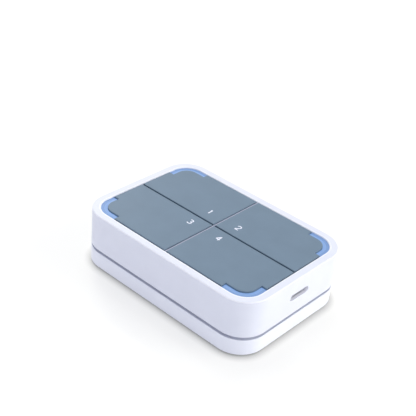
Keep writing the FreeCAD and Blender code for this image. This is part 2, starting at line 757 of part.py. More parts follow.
def make_switch(index, a, b):
    """A surface-mounted tact switch: square body with a bore, and four solder legs."""
    name = f"tact_switch_{index}"
    body = new_body(name)
    x, y = switch_x * a, switch_y * b
    half = d.switch_side / 2
    pad(body, name + "_case", [rectangle(half, half, None, x, y)], board_top, switch_top)
    bore_foot = switch_top - d.plunger_depth - d.key_travel - d.plunger_gap
    pocket(body, name + "_bore", [Disc(x, y, d.plunger_radius + d.plunger_gap)], bore_foot, switch_top)
    reach = half + d.switch_leg_reach
    legs = []
    for side in (-1, 1):
        leg_y = about(y + (half - d.switch_leg_inset) * side, d.switch_leg)
        legs += [between((x + half * end, x + reach * end), leg_y) for end in (-1, 1)]
    pad(body, name + "_legs", legs, board_top, board_top + d.switch_leg_thickness)
    return body


def make_plunger(index, a, b):
    """The round plunger that slides in a tact switch."""
    name = f"switch_plunger_{index}"
    body = new_body(name)
    foot = switch_top - d.plunger_depth
    pad(body, name + "_stem", [Disc(switch_x * a, switch_y * b, d.plunger_radius)], foot, plunger_top)
    return body


def make_lamps():
    """Eight small lamps on the board, one under each post."""
    lamps = []
    for i, (a, b) in enumerate(CORNERS, start=1):
        for j, (x, y) in enumerate(post_places(a, b), start=1):
            lamps.append(block(None, f"lamp_{i}_{j}", about(x, d.lamp_length), about(y, d.lamp_width),
                               (board_top, lamp_top)))
    return group("corner_lamps", lamps)


def make_socket():
    """The charging socket: a drawn metal shell round a contact tongue."""
    front = half_length - d.slot_wall - d.socket_gap
    back = front - d.socket_length
    skin = d.socket_skin
    outer = Slot(d.socket_width / 2, d.socket_height / 2, slot_z)
    mouth = Slot(d.socket_width / 2 - skin, d.socket_height / 2 - skin, slot_z)
    shell = new_body("charging_socket_shell")
    pad(shell, "socket_tube", [outer], back, front, "YZ_Plane")
    pocket(shell, "socket_mouth", [mouth], back + skin, front, "YZ_Plane")
    tongue = new_body("charging_socket_tongue")
    root = rectangle(d.socket_width / 2 - d.socket_height / 2, d.socket_height / 2 - skin, None, zero, slot_z)
    pad(tongue, "tongue_root", [root], back + skin, back + skin + d.tongue_root, "YZ_Plane")
    blade = rectangle(d.tongue_width / 2, d.tongue_plate / 2, None, zero, slot_z)
    pad(tongue, "tongue_blade", [blade], back + skin, front - d.tongue_short, "YZ_Plane")
    return [shell, tongue]


def make_radio():
    """The radio module: its own small board, and the shield can on it."""
    end = -(inner_x - d.board_gap - d.module_inset)
    top = board_top + d.module_thickness
    module = new_body("radio_module")
    x = end + d.module_length / 2
    pad(module, "module_board", [square(x, zero, d.module_length, d.module_width)], board_top, top)
    can = new_body("shield_can")
    can_x = end + d.module_length - d.module_inset - d.shield_length / 2
    pad(can, "can_shell", [square(can_x, zero, d.shield_length, d.shield_width)], top, top + d.shield_height)
    return [module, can]


def make_power_parts():
    """The charger chip, with its coil and capacitors."""
    chip_x = half_length - d.chip_inset
    chip = new_body("charger_chip")
    pad(chip, "chip_body", [square(chip_x, zero, d.chip_side, d.chip_side)],
        board_top, board_top + d.chip_height)
    coil = new_body("power_coil")
    coil_y = d.chip_side / 2 + d.coil_side / 2 + d.coil_gap
    pad(coil, "coil_body", [square(chip_x, coil_y, d.coil_side, d.coil_side)],
        board_top, board_top + d.coil_height)
    capacitors = []
    upward = (board_top, board_top + d.capacitor_height)
    for column in (1, 2, 3):
        across = about(chip_x - d.chip_side / 2 - d.capacitor_pitch * column, d.capacitor_width)
        for row, side in (("low", -1), ("high", 1)):
            along = about(d.capacitor_pitch / 2 * side, d.capacitor_length)
            capacitors.append(block(None, f"capacitor_{row}_{column}", across, along, upward))
    return [chip, coil, group("capacitors", capacitors)]


def make_battery():
    """The pouch cell on its foam pad."""
    pad_top = floor_top + d.pad_thickness
    foam = new_body("battery_pad")
    foam_outline = rectangle(d.cell_length / 2 - d.pad_margin, d.cell_width / 2 - d.pad_margin)
    pad(foam, "pad_sheet", [foam_outline], floor_top, pad_top)
    cell = new_body("battery_cell")
    middle = pad_top + d.cell_thickness / 2
    section = rectangle(d.cell_width / 2, d.cell_thickness / 2, d.cell_round, zero, middle)
    pad(cell, "cell_pouch", [section], -(d.cell_length / 2), d.cell_length / 2, "YZ_Plane")
    return [foam, cell]


def make_battery_plug():
    """The battery's header under the board, with its plug pushed in from the -Y side."""
    wall, gap = d.header_wall, d.plug_gap
    foot = board_under - d.header_height
    low_y, high_y = about(d.plug_y, d.header_length)
    mouth = d.header_width - wall * 2
    header = new_body("battery_header")
    outside = square(plug_x, d.plug_y, d.header_width, d.header_length)
    pad(header, "header_block", [outside], foot, board_under)
    inside = between(about(plug_x, mouth), (low_y, high_y - wall))
    pocket(header, "header_mouth", [inside], foot + wall, board_under - wall)
    plug = new_body("battery_plug")
    outline = between(about(plug_x, mouth - gap * 2), (low_y - d.plug_out, high_y - wall - gap))
    pad(plug, "plug_block", [outline], foot + wall + gap, board_under - wall - gap)
    return [header, plug]


def lead_path(points):
    """Straight runs joined by tangent arcs, each as large as its two runs allow."""
    edges = []
    start = points[0]
    for i in range(1, len(points) - 1):
        back = points[i - 1] - points[i]
        ahead = points[i + 1] - points[i]
        half_angle = back.getAngle(ahead) / 2
        cut = bend_share * min(back.Length, ahead.Length)
        radius = cut * math.tan(half_angle)
        print(f"lead bend, radius {radius:.2f} mm")
        back.normalize()
        ahead.normalize()
        first, last = points[i] + back * cut, points[i] + ahead * cut
        inward = (back + ahead).normalize()
        middle = points[i] + inward * (math.hypot(cut, radius) - radius)
        edges.append(Part.LineSegment(start, first).toShape())
        edges.append(Part.Arc(first, middle, last).toShape())
        start = last
    edges.append(Part.LineSegment(start, points[-1]).toShape())
    return Part.Wire(edges)


def make_leads():
    """Two short leads from the end of the cell to the plug."""
    leads = []
    cell_end = (d.cell_length / 2).value
    cell_z = (floor_top + d.pad_thickness + d.cell_thickness / 2).value
    plug_z = (board_under - d.header_height / 2).value
    plug_face = (d.plug_y - d.header_length / 2 - d.plug_out).value
    for name, side in (("battery_lead_positive", -1), ("battery_lead_negative", 1)):
        x = (plug_x + d.lead_pitch / 2 * side).value
        low_y = plug_face - (d.lead_run + d.lead_pitch / 2 * side).value
        points = [
            Vector(cell_end, low_y, cell_z),
            Vector(x, low_y, cell_z),
            Vector(x, (low_y + plug_face) / 2, plug_z),
            Vector(x, plug_face, plug_z),
        ]
        turns = [2 * math.pi * i / lead_flats for i in range(lead_flats)]
        spokes = [Vector(0, math.cos(turn), math.sin(turn)) * d.lead_radius.value for turn in turns]
        ring = Part.makePolygon([points[0] + spoke for spoke in spokes + spokes[:1]])
        lead = doc.addObject("Part::Feature", name)
        lead.Label = name
        lead.Shape = lead_path(points).makePipeShell([ring], True, False)
        leads.append(lead)
    return leads


def make_screw(name, x, y, seat, length, radius, head_radius, head_height):
    """A pan-head screw, head down, with its shank going up from the seat."""
    whole = doc.addObject("Part::Fuse", name)
    whole.Base = rod(name + "_head", x, y, (seat - head_height, seat), head_radius)
    whole.Tool = rod(name + "_shank", x, y, (seat, seat + length), radius)
    return whole


def make_fasteners():
    """Case screws, the shorter screws that hold the board, and a foot under each corner post."""
    case_screws, board_screws, feet = [], [], []
    for i, (a, b) in enumerate(CORNERS, start=1):
        feet.append(rod(f"foot_{i}", post_x * a, post_y * b, (zero, underside), d.foot_radius))
    for i, spot in enumerate(screw_discs(d.screw_radius), start=1):
        case_screws.append(make_screw(f"case_screw_{i}", spot.x, spot.y, screw_seat,
                                      d.screw_length, spot.radius,
                                      d.screw_head_radius, d.screw_head_height))
    for i, spot in enumerate(board_discs(d.board_screw_radius), start=1):
        board_screws.append(make_screw(f"board_screw_{i}", spot.x, spot.y, board_under,
                                       d.board_screw_length, spot.radius,
                                       d.board_screw_head_radius, d.board_screw_head_height))
    groups = (("case_screws", case_screws), ("board_screws", board_screws), ("rubber_feet", feet))
    return [group(name, members) for name, members in groups]


def check_and_write(nodes):
    """Stop on any failed object or bad shape, then write one STEP file for each node."""
    doc.recompute()
    for item in doc.Objects:
        if "Invalid" in item.State or "Error" in item.State:
            raise RuntimeError(f"{item.Label} failed: {item.State}")
    for node in nodes:
        if node.Shape.isNull() or not node.Shape.isValid() or not node.Shape.Solids:
            raise RuntimeError(f"{node.Label} has no valid solid")
    os.makedirs("parts", exist_ok=True)
    for node in nodes:
        node.Shape.exportStep(f"parts/{node.Label}.step")
        box = node.Shape.BoundBox
        print(f"{node.Label:24} solids {len(node.Shape.Solids)}  volume {node.Shape.Volume:9.1f}"
              f"  z {box.ZMin:6.2f} to {box.ZMax:6.2f}")


nodes = [make_housing(), make_cover()]
for index, (a, b) in enumerate(CORNERS, start=1):
    nodes.append(make_key(index, a, b))
    nodes.append(make_light_guide(index, a, b))
    nodes.append(make_switch(index, a, b))
    nodes.append(make_plunger(index, a, b))
nodes.append(make_board())
nodes.append(make_lamps())
nodes += make_socket() + make_radio() + make_power_parts()
nodes += make_battery() + make_battery_plug() + make_leads() + make_fasteners()
check_and_write(nodes)
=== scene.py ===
import math

import bpy
import numpy as np
from mathutils import Euler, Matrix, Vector


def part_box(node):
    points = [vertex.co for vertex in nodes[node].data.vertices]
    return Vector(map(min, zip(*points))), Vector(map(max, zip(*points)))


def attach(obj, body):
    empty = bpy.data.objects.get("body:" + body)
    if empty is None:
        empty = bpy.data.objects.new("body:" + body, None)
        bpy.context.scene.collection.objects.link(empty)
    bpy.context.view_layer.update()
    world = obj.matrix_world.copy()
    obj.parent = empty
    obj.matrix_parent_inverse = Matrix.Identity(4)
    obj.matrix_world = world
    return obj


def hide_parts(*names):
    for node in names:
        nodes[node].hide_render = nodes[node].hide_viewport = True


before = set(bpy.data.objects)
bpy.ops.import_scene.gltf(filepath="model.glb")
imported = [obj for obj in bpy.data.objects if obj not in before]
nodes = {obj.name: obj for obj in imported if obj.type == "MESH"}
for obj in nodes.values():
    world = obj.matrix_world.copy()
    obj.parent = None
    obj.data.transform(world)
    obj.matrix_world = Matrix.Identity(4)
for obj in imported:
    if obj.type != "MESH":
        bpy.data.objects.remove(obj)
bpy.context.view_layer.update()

# A palm-sized wireless remote: a white case, four blue-grey keys in one window, and a
# glowing strip in each corner of the window. Lengths are in metres.

mm = 0.001

# Levels of the case and half its size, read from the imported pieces.
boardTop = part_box("circuit_board")[1].z
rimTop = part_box("upper_housing")[1].z
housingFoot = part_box("upper_housing")[0].z
caseHalf = (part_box("upper_housing")[1].x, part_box("upper_housing")[1].y)

# Widths over which masks fade at their edges.
crispFade, plainFade, softFade, wideFade = 0.02 * mm, 0.03 * mm, 0.05 * mm, 0.10 * mm


# The names of the four pieces of one kind.
def fourOf(name):
    return [f"{name}_{index}" for index in (1, 2, 3, 4)]


# Shared steps for node trees


# Empties the node tree of a material or a world.
def emptyTree(owner):
    owner.use_nodes = True
    owner.node_tree.nodes.clear()
    return owner.node_tree


def setSocket(tree, node, key, value):
    if isinstance(value, bpy.types.NodeSocket):
        tree.links.new(value, node.inputs[key])
    else:
        node.inputs[key].default_value = value


def addNode(tree, kind, sockets=None, **settings):
    node = tree.nodes.new("ShaderNode" + kind)
    for key, value in settings.items():
        setattr(node, key, value)
    for key, value in (sockets or {}).items():
        setSocket(tree, node, key, value)
    return node


def calc(tree, operation, *values):
    return addNode(tree, "Math", dict(enumerate(values)), operation=operation).outputs[0]


# The share of the way from low to high, held between 0 and 1, with eased ends.
def ease(tree, value, low, high):
    sockets = {"Value": value, "From Min": low, "From Max": high}
    return addNode(tree, "MapRange", sockets, interpolation_type="SMOOTHSTEP").outputs[0]


# 1 where the value lies between low and high, with soft sides.
def within(tree, value, low, high):
    rise = ease(tree, value, low - plainFade, low)
    return calc(tree, "MULTIPLY", rise, ease(tree, value, high + plainFade, high))


def allOf(tree, *masks):
    product = masks[0]
    for mask in masks[1:]:
        product = calc(tree, "MULTIPLY", product, mask)
    return product


# The distance that two sides at right angles span: the root of the sum of their squares.
def diagonal(tree, sides):
    squares = [calc(tree, "POWER", side, 2.0) for side in sides]
    return calc(tree, "SQRT", calc(tree, "ADD", *squares))


# How far a value lies from the nearer of two lines, at plus and minus the one given.
def mirrored(tree, value, line):
    return calc(tree, "ABSOLUTE", calc(tree, "SUBTRACT", calc(tree, "ABSOLUTE", value), line))


# The colour mix has its factor on socket 0, its colours on 6 and 7 and its result on output 2,
# and the mix of two numbers has them on 2 and 3, with its result on output 0.
def blendColours(tree, factor, first, second):
    mix = addNode(tree, "Mix", {0: factor, 6: first, 7: second}, data_type="RGBA")
    return mix.outputs[2]


def blendNumbers(tree, factor, first, second):
    return addNode(tree, "Mix", {0: factor, 2: first, 3: second}, data_type="FLOAT").outputs[0]


def objectPlace(tree, centre=(0, 0, 0)):
    place = addNode(tree, "TexCoord").outputs["Object"]
    shift = addNode(tree, "Mapping", {"Vector": place, "Location": [-c for c in centre]})
    return shift.outputs[0]


def splitPlace(tree, centre=(0, 0, 0)):
    return addNode(tree, "SeparateXYZ", {0: objectPlace(tree, centre)}).outputs


def newGroup(name, inputs, outputs):
    group = bpy.data.node_groups.new(name, "ShaderNodeTree")
    for label, value in inputs.items():
        socket = group.interface.new_socket(label, in_out="INPUT", socket_type="NodeSocketFloat")
        socket.default_value = value
    for label, kind in outputs.items():
        group.interface.new_socket(label, in_out="OUTPUT", socket_type="NodeSocket" + kind)
    return group, group.nodes.new("NodeGroupInput"), group.nodes.new("NodeGroupOutput")


def useGroup(tree, group, sockets):
    node = addNode(tree, "Group")
    node.node_tree = group
    for key, value in sockets.items():
        setSocket(tree, node, key, value)
    return node.outputs


def fullColour(colour):
    return (*colour, 1.0)


# Effects that several finishes share

grainMix = {"detail": 2.0, "slowScale": 0.03, "fineShare": 0.35, "toneRange": (0.3, 0.7)}


# Spark-eroded grain: fine noise for the height, and slow noise with some of the fine for the tone.
def makeGrain():
    group, given, result = newGroup("fineGrain", {"Scale": 2500.0}, {"Height": "Float", "Tone": "Float"})
    place = objectPlace(group)
    scale, share = given.outputs["Scale"], grainMix["fineShare"]
    slowScale = calc(group, "MULTIPLY", scale, grainMix["slowScale"])
    fine = addNode(group, "TexNoise", {"Vector": place, "Scale": scale, "Detail": grainMix["detail"]})
    slow = addNode(group, "TexNoise", {"Vector": place, "Scale": slowScale})
    speck = calc(group, "MULTIPLY", fine.outputs[0], share)
    setSocket(group, result, "Height", fine.outputs[0])
    setSocket(group, result, "Tone", calc(group, "MULTIPLY_ADD", slow.outputs[0], 1 - share, speck))
    return group


edgeMix = {"samples": 6, "agree": (0.99, 0.86)}


# A rounded edge for the light: the normal is averaged over the radius, and Edge is 1 where it turns.
def makeSoftEdge():
    group, given, result = newGroup("softEdge", {"Radius": 0.2 * mm}, {"Normal": "Vector", "Edge": "Float"})
    bevel = addNode(group, "Bevel", {"Radius": given.outputs["Radius"]}, samples=edgeMix["samples"])
    flat = addNode(group, "NewGeometry").outputs["True Normal"]
    agree = addNode(group, "VectorMath", {0: bevel.outputs[0], 1: flat}, operation="DOT_PRODUCT")
    setSocket(group, result, "Normal", bevel.outputs[0])
    setSocket(group, result, "Edge", ease(group, agree.outputs["Value"], *edgeMix["agree"]))
    return group


# How far a point lies inside the upright wall of a rounded rectangle about the Z axis:
# the radius, less the length of the part past the corner's centre, less the larger side inside it.
def makeInset():
    inputs = {"Half X": 40 * mm, "Half Y": 26 * mm, "Radius": 8 * mm}
    group, given, result = newGroup("roundedInset", inputs, {"Inset": "Float"})
    place = splitPlace(group)
    past = []
    for axis, name in enumerate(("Half X", "Half Y")):
        reach = calc(group, "SUBTRACT", given.outputs[name], given.outputs["Radius"])
        past.append(calc(group, "SUBTRACT", calc(group, "ABSOLUTE", place[axis]), reach))
    outside = diagonal(group, [calc(group, "MAXIMUM", side, 0.0) for side in past])
    inside = calc(group, "MINIMUM", calc(group, "MAXIMUM", *past), 0.0)
    distance = calc(group, "ADD", outside, inside)
    setSocket(group, result, "Inset", calc(group, "SUBTRACT", given.outputs["Radius"], distance))
    return group


fineGrain = makeGrain()
softEdge = makeSoftEdge()
roundedInset = makeInset()
print("shared effects ready")


# Finishes

rimWidth, caseRadius = 3.4 * mm, 11.1 * mm

# Outlines seen from above: the case, and the window inside its rim.
outlines = {
    "case": {"Half X": caseHalf[0], "Half Y": caseHalf[1], "Radius": caseRadius},
    "window": {"Half X": caseHalf[0] - rimWidth, "Half Y": caseHalf[1] - rimWidth,
               "Radius": caseRadius - rimWidth},
}


# Grain in the height, the tone and the roughness, with softened edges and a painted highlight on them where
# edgeRadius is given.
def addGrain(tree, shader, look):
    grain = useGroup(tree, fineGrain, {"Scale": look["grainScale"]})
    share = ease(tree, grain["Tone"], *grainMix["toneRange"])
    setSocket(tree, shader, "Roughness", blendNumbers(tree, share, *look["roughnessRange"]))
    colour = blendColours(tree, share, fullColour(look["colour"]), fullColour(look["colourHigh"]))
    bump = addNode(tree, "Bump", {"Height": grain["Height"], "Strength": look["grainStrength"],
                                  "Distance": look["grainDepth"]})
    if "edgeRadius" in look:
        edge = useGroup(tree, softEdge, {"Radius": look["edgeRadius"]})
        setSocket(tree, bump, "Normal", edge["Normal"])
        # The edges are painted a paler colour, a painted highlight where the normal turns.
        edgeHighlight = calc(tree, "MULTIPLY", edge["Edge"], look["edgeHighlightShare"])
        colour = blendColours(tree, edgeHighlight, colour, fullColour(look["edgeHighlightColour"]))
    setSocket(tree, shader, "Base Color", colour)
    setSocket(tree, shader, "Normal", bump.outputs[0])


# A finish with its grain, ready for overlays and reliefs.
def newFinish(name, look):
    finish = bpy.data.materials.new(name)
    tree = emptyTree(finish)
    shader = addNode(tree, "BsdfPrincipled")
    for socket in ("Metallic", "Specular IOR Level", "Coat Weight"):
        if socket in look:
            shader.inputs[socket].default_value = look[socket]
    output = addNode(tree, "OutputMaterial", {"Surface": shader.outputs[0]})
    output.is_active_output = True
    addGrain(tree, shader, look)
    return finish, tree, shader


def makePlain(name, look):
    return newFinish(name, look)[0]


def dress(finish, *names):
    for name in names:
        mesh = nodes[name].data
        mesh.materials.clear()
        mesh.materials.append(finish)


# Lays another colour, roughness and metal over the finish where the mask is 1.
def overlay(tree, shader, mask, colour, roughness=None, metal=None):
    under = shader.inputs["Base Color"].links[0].from_socket
    setSocket(tree, shader, "Base Color", blendColours(tree, mask, under, fullColour(colour)))
    for key, value in (("Roughness", roughness), ("Metallic", metal)):
        if value is not None:
            socket = shader.inputs[key]
            present = socket.links[0].from_socket if socket.links else socket.default_value
            setSocket(tree, shader, key, blendNumbers(tree, mask, present, value))


# Puts another relief on top of those that are there. Each look gives a strength and a depth.
def addRelief(tree, shader, height, strength, depth):
    under = shader.inputs["Normal"].links[0].from_socket
    sockets = {"Height": height, "Strength": strength, "Distance": depth, "Normal": under}
    setSocket(tree, shader, "Normal", addNode(tree, "Bump", sockets).outputs[0])


shellLook = {
    "colour": (0.83, 0.85, 0.89), "colourHigh": (0.86, 0.88, 0.92), "roughnessRange": (0.40, 0.50),
    "grainScale": 3200.0, "grainStrength": 0.25, "grainDepth": 0.02 * mm,
    # The shell's edges get a painted highlight.
    "edgeRadius": 0.16 * mm, "edgeHighlightShare": 0.8, "edgeHighlightColour": (0.93, 0.94, 0.96),
}

# The cover is painted a little paler than the housing, as painted light against the shade that the table
# casts on it.
coverPaintedLightLook = {**shellLook, "colour": (0.92, 0.94, 0.97), "colourHigh": (0.94, 0.96, 0.98)}

# The fin in the gap between the keys is painted grey, as painted shade in the gap. Each pair is where its
# mask is 0 and where it is 1.
finShadeLook = {
    "colour": (0.46, 0.48, 0.57), "halfWidth": (0.44 * mm, 0.34 * mm),
    "halfLength": (26.6 * mm, 26.2 * mm),
}

# Both edges of the rim are polished, and painted paler as a painted highlight. The mouth of the slot is
# only painted paler, as painted light against the shade inside it.
rimHighlightLook = {
    "colour": (0.98, 0.99, 1.0), "roughness": 0.3, "inner": (-0.72 * mm, 0.05 * mm),
    "outer": 0.38 * mm, "drop": 0.36 * mm,
}
mouthLightLook = {
    "colour": (0.97, 0.97, 1.0), "halfY": 5.4 * mm, "halfZ": 1.4 * mm,
    "front": 0.05 * mm, "back": 0.4 * mm,
}

# The groove is matt and painted grey, as painted shade in the recess. Its levels are heights over the
# housing's foot, where its mask is 0 and where it is 1, above it on the housing and below it on the cover's
# ledge.
grooveShadeLook = {
    "colour": (0.62, 0.64, 0.71), "roughness": 0.7, "inset": (0.12 * mm, 0.30 * mm),
    "housing": (0.08 * mm, 0.04 * mm), "cover": (-1.39 * mm, -1.36 * mm),
}


def addFinShade(tree, shader, place):
    shares = [ease(tree, calc(tree, "ABSOLUTE", place[axis]), *finShadeLook[span])
              for axis, span in enumerate(("halfWidth", "halfLength"))]
    # The fin's grey is painted shade.
    overlay(tree, shader, allOf(tree, *shares), finShadeLook["colour"])


def addRimHighlights(tree, shader, place):
    window = useGroup(tree, roundedInset, outlines["window"])["Inset"]
    case = useGroup(tree, roundedInset, outlines["case"])["Inset"]
    inner = within(tree, window, *rimHighlightLook["inner"])
    outer = ease(tree, case, rimHighlightLook["outer"] + plainFade, rimHighlightLook["outer"])
    level = rimTop - rimHighlightLook["drop"]
    high = ease(tree, place[2], level - crispFade, level)
    both = calc(tree, "MAXIMUM", inner, outer)
    # The rim's edges are painted paler, a painted highlight, and made smoother.
    overlay(tree, shader, allOf(tree, both, high), rimHighlightLook["colour"], rimHighlightLook["roughness"])


def addMouthLight(tree, shader, place):
    low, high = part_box("charging_socket_shell")
    height = calc(tree, "SUBTRACT", place[2], (low.z + high.z) / 2)
    back, front = high.x - mouthLightLook["back"], caseHalf[0] - mouthLightLook["front"]
    masks = [ease(tree, place[0], back - wideFade, back), ease(tree, place[0], front, front - crispFade)]
    for side, half in ((place[1], mouthLightLook["halfY"]), (height, mouthLightLook["halfZ"])):
        masks.append(ease(tree, calc(tree, "ABSOLUTE", side), half + softFade, half))
    # The mouth is painted paler, painted light against the shade inside the slot.
    overlay(tree, shader, allOf(tree, *masks), mouthLightLook["colour"])


def addGrooveShade(tree, shader, place, levels):
    inset = useGroup(tree, roundedInset, outlines["case"])["Inset"]
    inside = ease(tree, inset, *grooveShadeLook["inset"])
    level = ease(tree, place[2], *[housingFoot + height for height in levels])
    # The groove is painted grey, painted shade in the recess.
    overlay(tree, shader, allOf(tree, inside, level), grooveShadeLook["colour"], grooveShadeLook["roughness"])


def makeShell():
    finish, tree, shader = newFinish("whiteShell", shellLook)
    place = splitPlace(tree)
    addFinShade(tree, shader, place)
    addRimHighlights(tree, shader, place)
    addMouthLight(tree, shader, place)
    addGrooveShade(tree, shader, place, grooveShadeLook["housing"])
    dress(finish, "upper_housing")


def makeCover():
    finish, tree, shader = newFinish("coverShell", coverPaintedLightLook)
    addGrooveShade(tree, shader, splitPlace(tree), grooveShadeLook["cover"])
    dress(finish, "bottom_cover")


keyLook = {
    "colour": (0.161, 0.233, 0.291), "colourHigh": (0.175, 0.251, 0.313), "roughnessRange": (0.38, 0.45),
    "Specular IOR Level": 0.3, "grainScale": 4200.0, "grainStrength": 0.35, "grainDepth": 0.02 * mm,
    # The keys' edges get a painted highlight.
    "edgeRadius": 0.2 * mm, "edgeHighlightShare": 0.7, "edgeHighlightColour": (0.30, 0.37, 0.46),
}

guideLook = {
    "colour": (0.10, 0.15, 0.24), "colourHigh": (0.12, 0.18, 0.28), "roughnessRange": (0.38, 0.46),
    "grainScale": 2200.0, "grainStrength": 0.2, "grainDepth": 0.02 * mm, "glow": 1.0,
    "glowUnderRimShade": (0.075, 0.165, 0.365), "glowInner": (0.115, 0.225, 0.455),
    "glowLine": (0.055, 0.130, 0.310), "rimShadeBand": (1.12 * mm, 1.24 * mm),
    "line": (1.02 * mm, 1.14 * mm), "lineRelief": (0.4, -0.05 * mm),
}


# The strips glow a little less outside a fine moulded line, as painted shade where the rim shadows them.
def makeGuides():
    finish, tree, shader = newFinish("lightGuide", guideLook)
    outer, inner, dark = [fullColour(guideLook[name]) for name in ("glowUnderRimShade", "glowInner", "glowLine")]
    inset = useGroup(tree, roundedInset, outlines["window"])["Inset"]
    # The outer band glows less, as painted shade from the rim.
    glow = blendColours(tree, ease(tree, inset, *guideLook["rimShadeBand"]), outer, inner)
    line = within(tree, inset, *guideLook["line"])
    setSocket(tree, shader, "Emission Color", blendColours(tree, line, glow, dark))
    shader.inputs["Emission Strength"].default_value = guideLook["glow"]
    addRelief(tree, shader, line, *guideLook["lineRelief"])
    dress(finish, *fourOf("light_guide"))


makeShell()
makeCover()
dress(makePlain("keyPlastic", keyLook), *fourOf("key"))
makeGuides()
print("outer finishes ready")


# Inner finishes, seen when the case is open

innerLooks = {
    "switchPlunger": {
        "nodes": fourOf("switch_plunger"),
        "colour": (0.50, 0.11, 0.07), "colourHigh": (0.60, 0.15, 0.09), "roughnessRange": (0.35, 0.5),
        "grainScale": 5000.0, "grainStrength": 0.2, "grainDepth": 0.02 * mm,
    },
    "socketTongue": {
        "nodes": ["charging_socket_tongue"],
        "colour": (0.62, 0.64, 0.68), "colourHigh": (0.70, 0.72, 0.76), "roughnessRange": (0.4, 0.55),
        "grainScale": 6000.0, "grainStrength": 0.2, "grainDepth": 0.01 * mm,
    },
    "chipResin": {
        "nodes": ["charger_chip"],
        "colour": (0.018, 0.018, 0.02), "colourHigh": (0.03, 0.03, 0.032), "roughnessRange": (0.5, 0.65),
        "grainScale": 7000.0, "grainStrength": 0.4, "grainDepth": 0.02 * mm,
    },
    "padFoam": {
        "nodes": ["battery_pad"],
        "colour": (0.045, 0.045, 0.05), "colourHigh": (0.09, 0.09, 0.095), "roughnessRange": (0.8, 0.95),
        "grainScale": 1800.0, "grainStrength": 0.9, "grainDepth": 0.15 * mm,
    },
    "headerNylon": {
        "nodes": ["battery_header"],
        "colour": (0.74, 0.71, 0.61), "colourHigh": (0.82, 0.79, 0.70), "roughnessRange": (0.3, 0.42),
        "grainScale": 3000.0, "grainStrength": 0.2, "grainDepth": 0.02 * mm,
    },
    "plugNylon": {
        "nodes": ["battery_plug"],
        "colour": (0.77, 0.74, 0.66), "colourHigh": (0.84, 0.82, 0.74), "roughnessRange": (0.3, 0.42),
        "grainScale": 3000.0, "grainStrength": 0.2, "grainDepth": 0.02 * mm,
    },
    "leadRed": {
        "nodes": ["battery_lead_positive"],
        "colour": (0.42, 0.018, 0.018), "colourHigh": (0.50, 0.03, 0.03), "roughnessRange": (0.35, 0.5),
        "grainScale": 2500.0, "grainStrength": 0.3, "grainDepth": 0.02 * mm,
    },
    "leadBlack": {
        "nodes": ["battery_lead_negative"],
        "colour": (0.018, 0.018, 0.018), "colourHigh": (0.03, 0.03, 0.03), "roughnessRange": (0.35, 0.5),
        "grainScale": 2500.0, "grainStrength": 0.3, "grainDepth": 0.02 * mm,
    },
    "footRubber": {
        "nodes": ["rubber_feet"],
        "colour": (0.085, 0.085, 0.095), "colourHigh": (0.12, 0.12, 0.13), "roughnessRange": (0.7, 0.85),
        "grainScale": 2800.0, "grainStrength": 0.6, "grainDepth": 0.05 * mm,
    },
    "socketSteel": {
        "nodes": ["charging_socket_shell"], "Metallic": 1.0,
        "colour": (0.78, 0.79, 0.82), "colourHigh": (0.86, 0.87, 0.90), "roughnessRange": (0.5, 0.62),
        "grainScale": 2600.0, "grainStrength": 0.25, "grainDepth": 0.01 * mm,
    },
    "shieldTin": {
        "nodes": ["shield_can"], "Metallic": 1.0,
        "colour": (0.57, 0.58, 0.59), "colourHigh": (0.66, 0.67, 0.68), "roughnessRange": (0.3, 0.48),
        "grainScale": 1500.0, "grainStrength": 0.25, "grainDepth": 0.02 * mm,
    },
}

tin = {"colour": (0.66, 0.67, 0.68), "roughness": 0.28, "metal": 1.0}
gold = {"colour": (0.80, 0.57, 0.23), "roughness": 0.26, "metal": 1.0}

switchLook = {
    "colour": (0.022, 0.022, 0.025), "colourHigh": (0.04, 0.04, 0.044), "roughnessRange": (0.45, 0.6),
    "grainScale": 4200.0, "grainStrength": 0.35, "grainDepth": 0.02 * mm,
    "middle": (27.0 * mm, 13.2 * mm), "bodyHalf": 3.0 * mm, "plate": 0.3 * mm,
    "pinPlace": 2.2 * mm, "pinRadius": 0.36 * mm, "pinRelief": (0.6, -0.1 * mm),
}


# A black body with a steel cover plate held by four melted pins, on tinned legs.
def makeSwitches():
    finish, tree, shader = newFinish("switchBody", switchLook)
    place = splitPlace(tree)
    off = [mirrored(tree, place[axis], switchLook["middle"][axis]) for axis in (0, 1)]
    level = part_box("tact_switch_1")[1].z - switchLook["plate"]
    plate = ease(tree, place[2], level - crispFade, level)
    distance = diagonal(tree, [calc(tree, "SUBTRACT", side, switchLook["pinPlace"]) for side in off])
    radius, half = switchLook["pinRadius"], switchLook["bodyHalf"]
    bare = ease(tree, distance, radius, radius + softFade)
    legs = ease(tree, off[0], half, half + plainFade)
    overlay(tree, shader, allOf(tree, plate, bare), **tin)
    overlay(tree, shader, legs, **tin)
    addRelief(tree, shader, bare, *switchLook["pinRelief"])
    dress(finish, *fourOf("tact_switch"))


boardLook = {
    "colour": (0.012, 0.115, 0.055), "colourHigh": (0.018, 0.145, 0.070), "roughnessRange": (0.28, 0.38),
    "grainScale": 1400.0, "grainStrength": 0.15, "grainDepth": 0.02 * mm, "Coat Weight": 0.3,
    "laminate": {"colour": (0.52, 0.48, 0.27), "roughness": 0.75}, "upright": (0.4, 0.6),
    "plyScale": 5500.0, "plyRelief": (0.4, 0.05 * mm),
    "weaveScale": 2500.0, "weaveRelief": (0.15, 0.02 * mm),
}


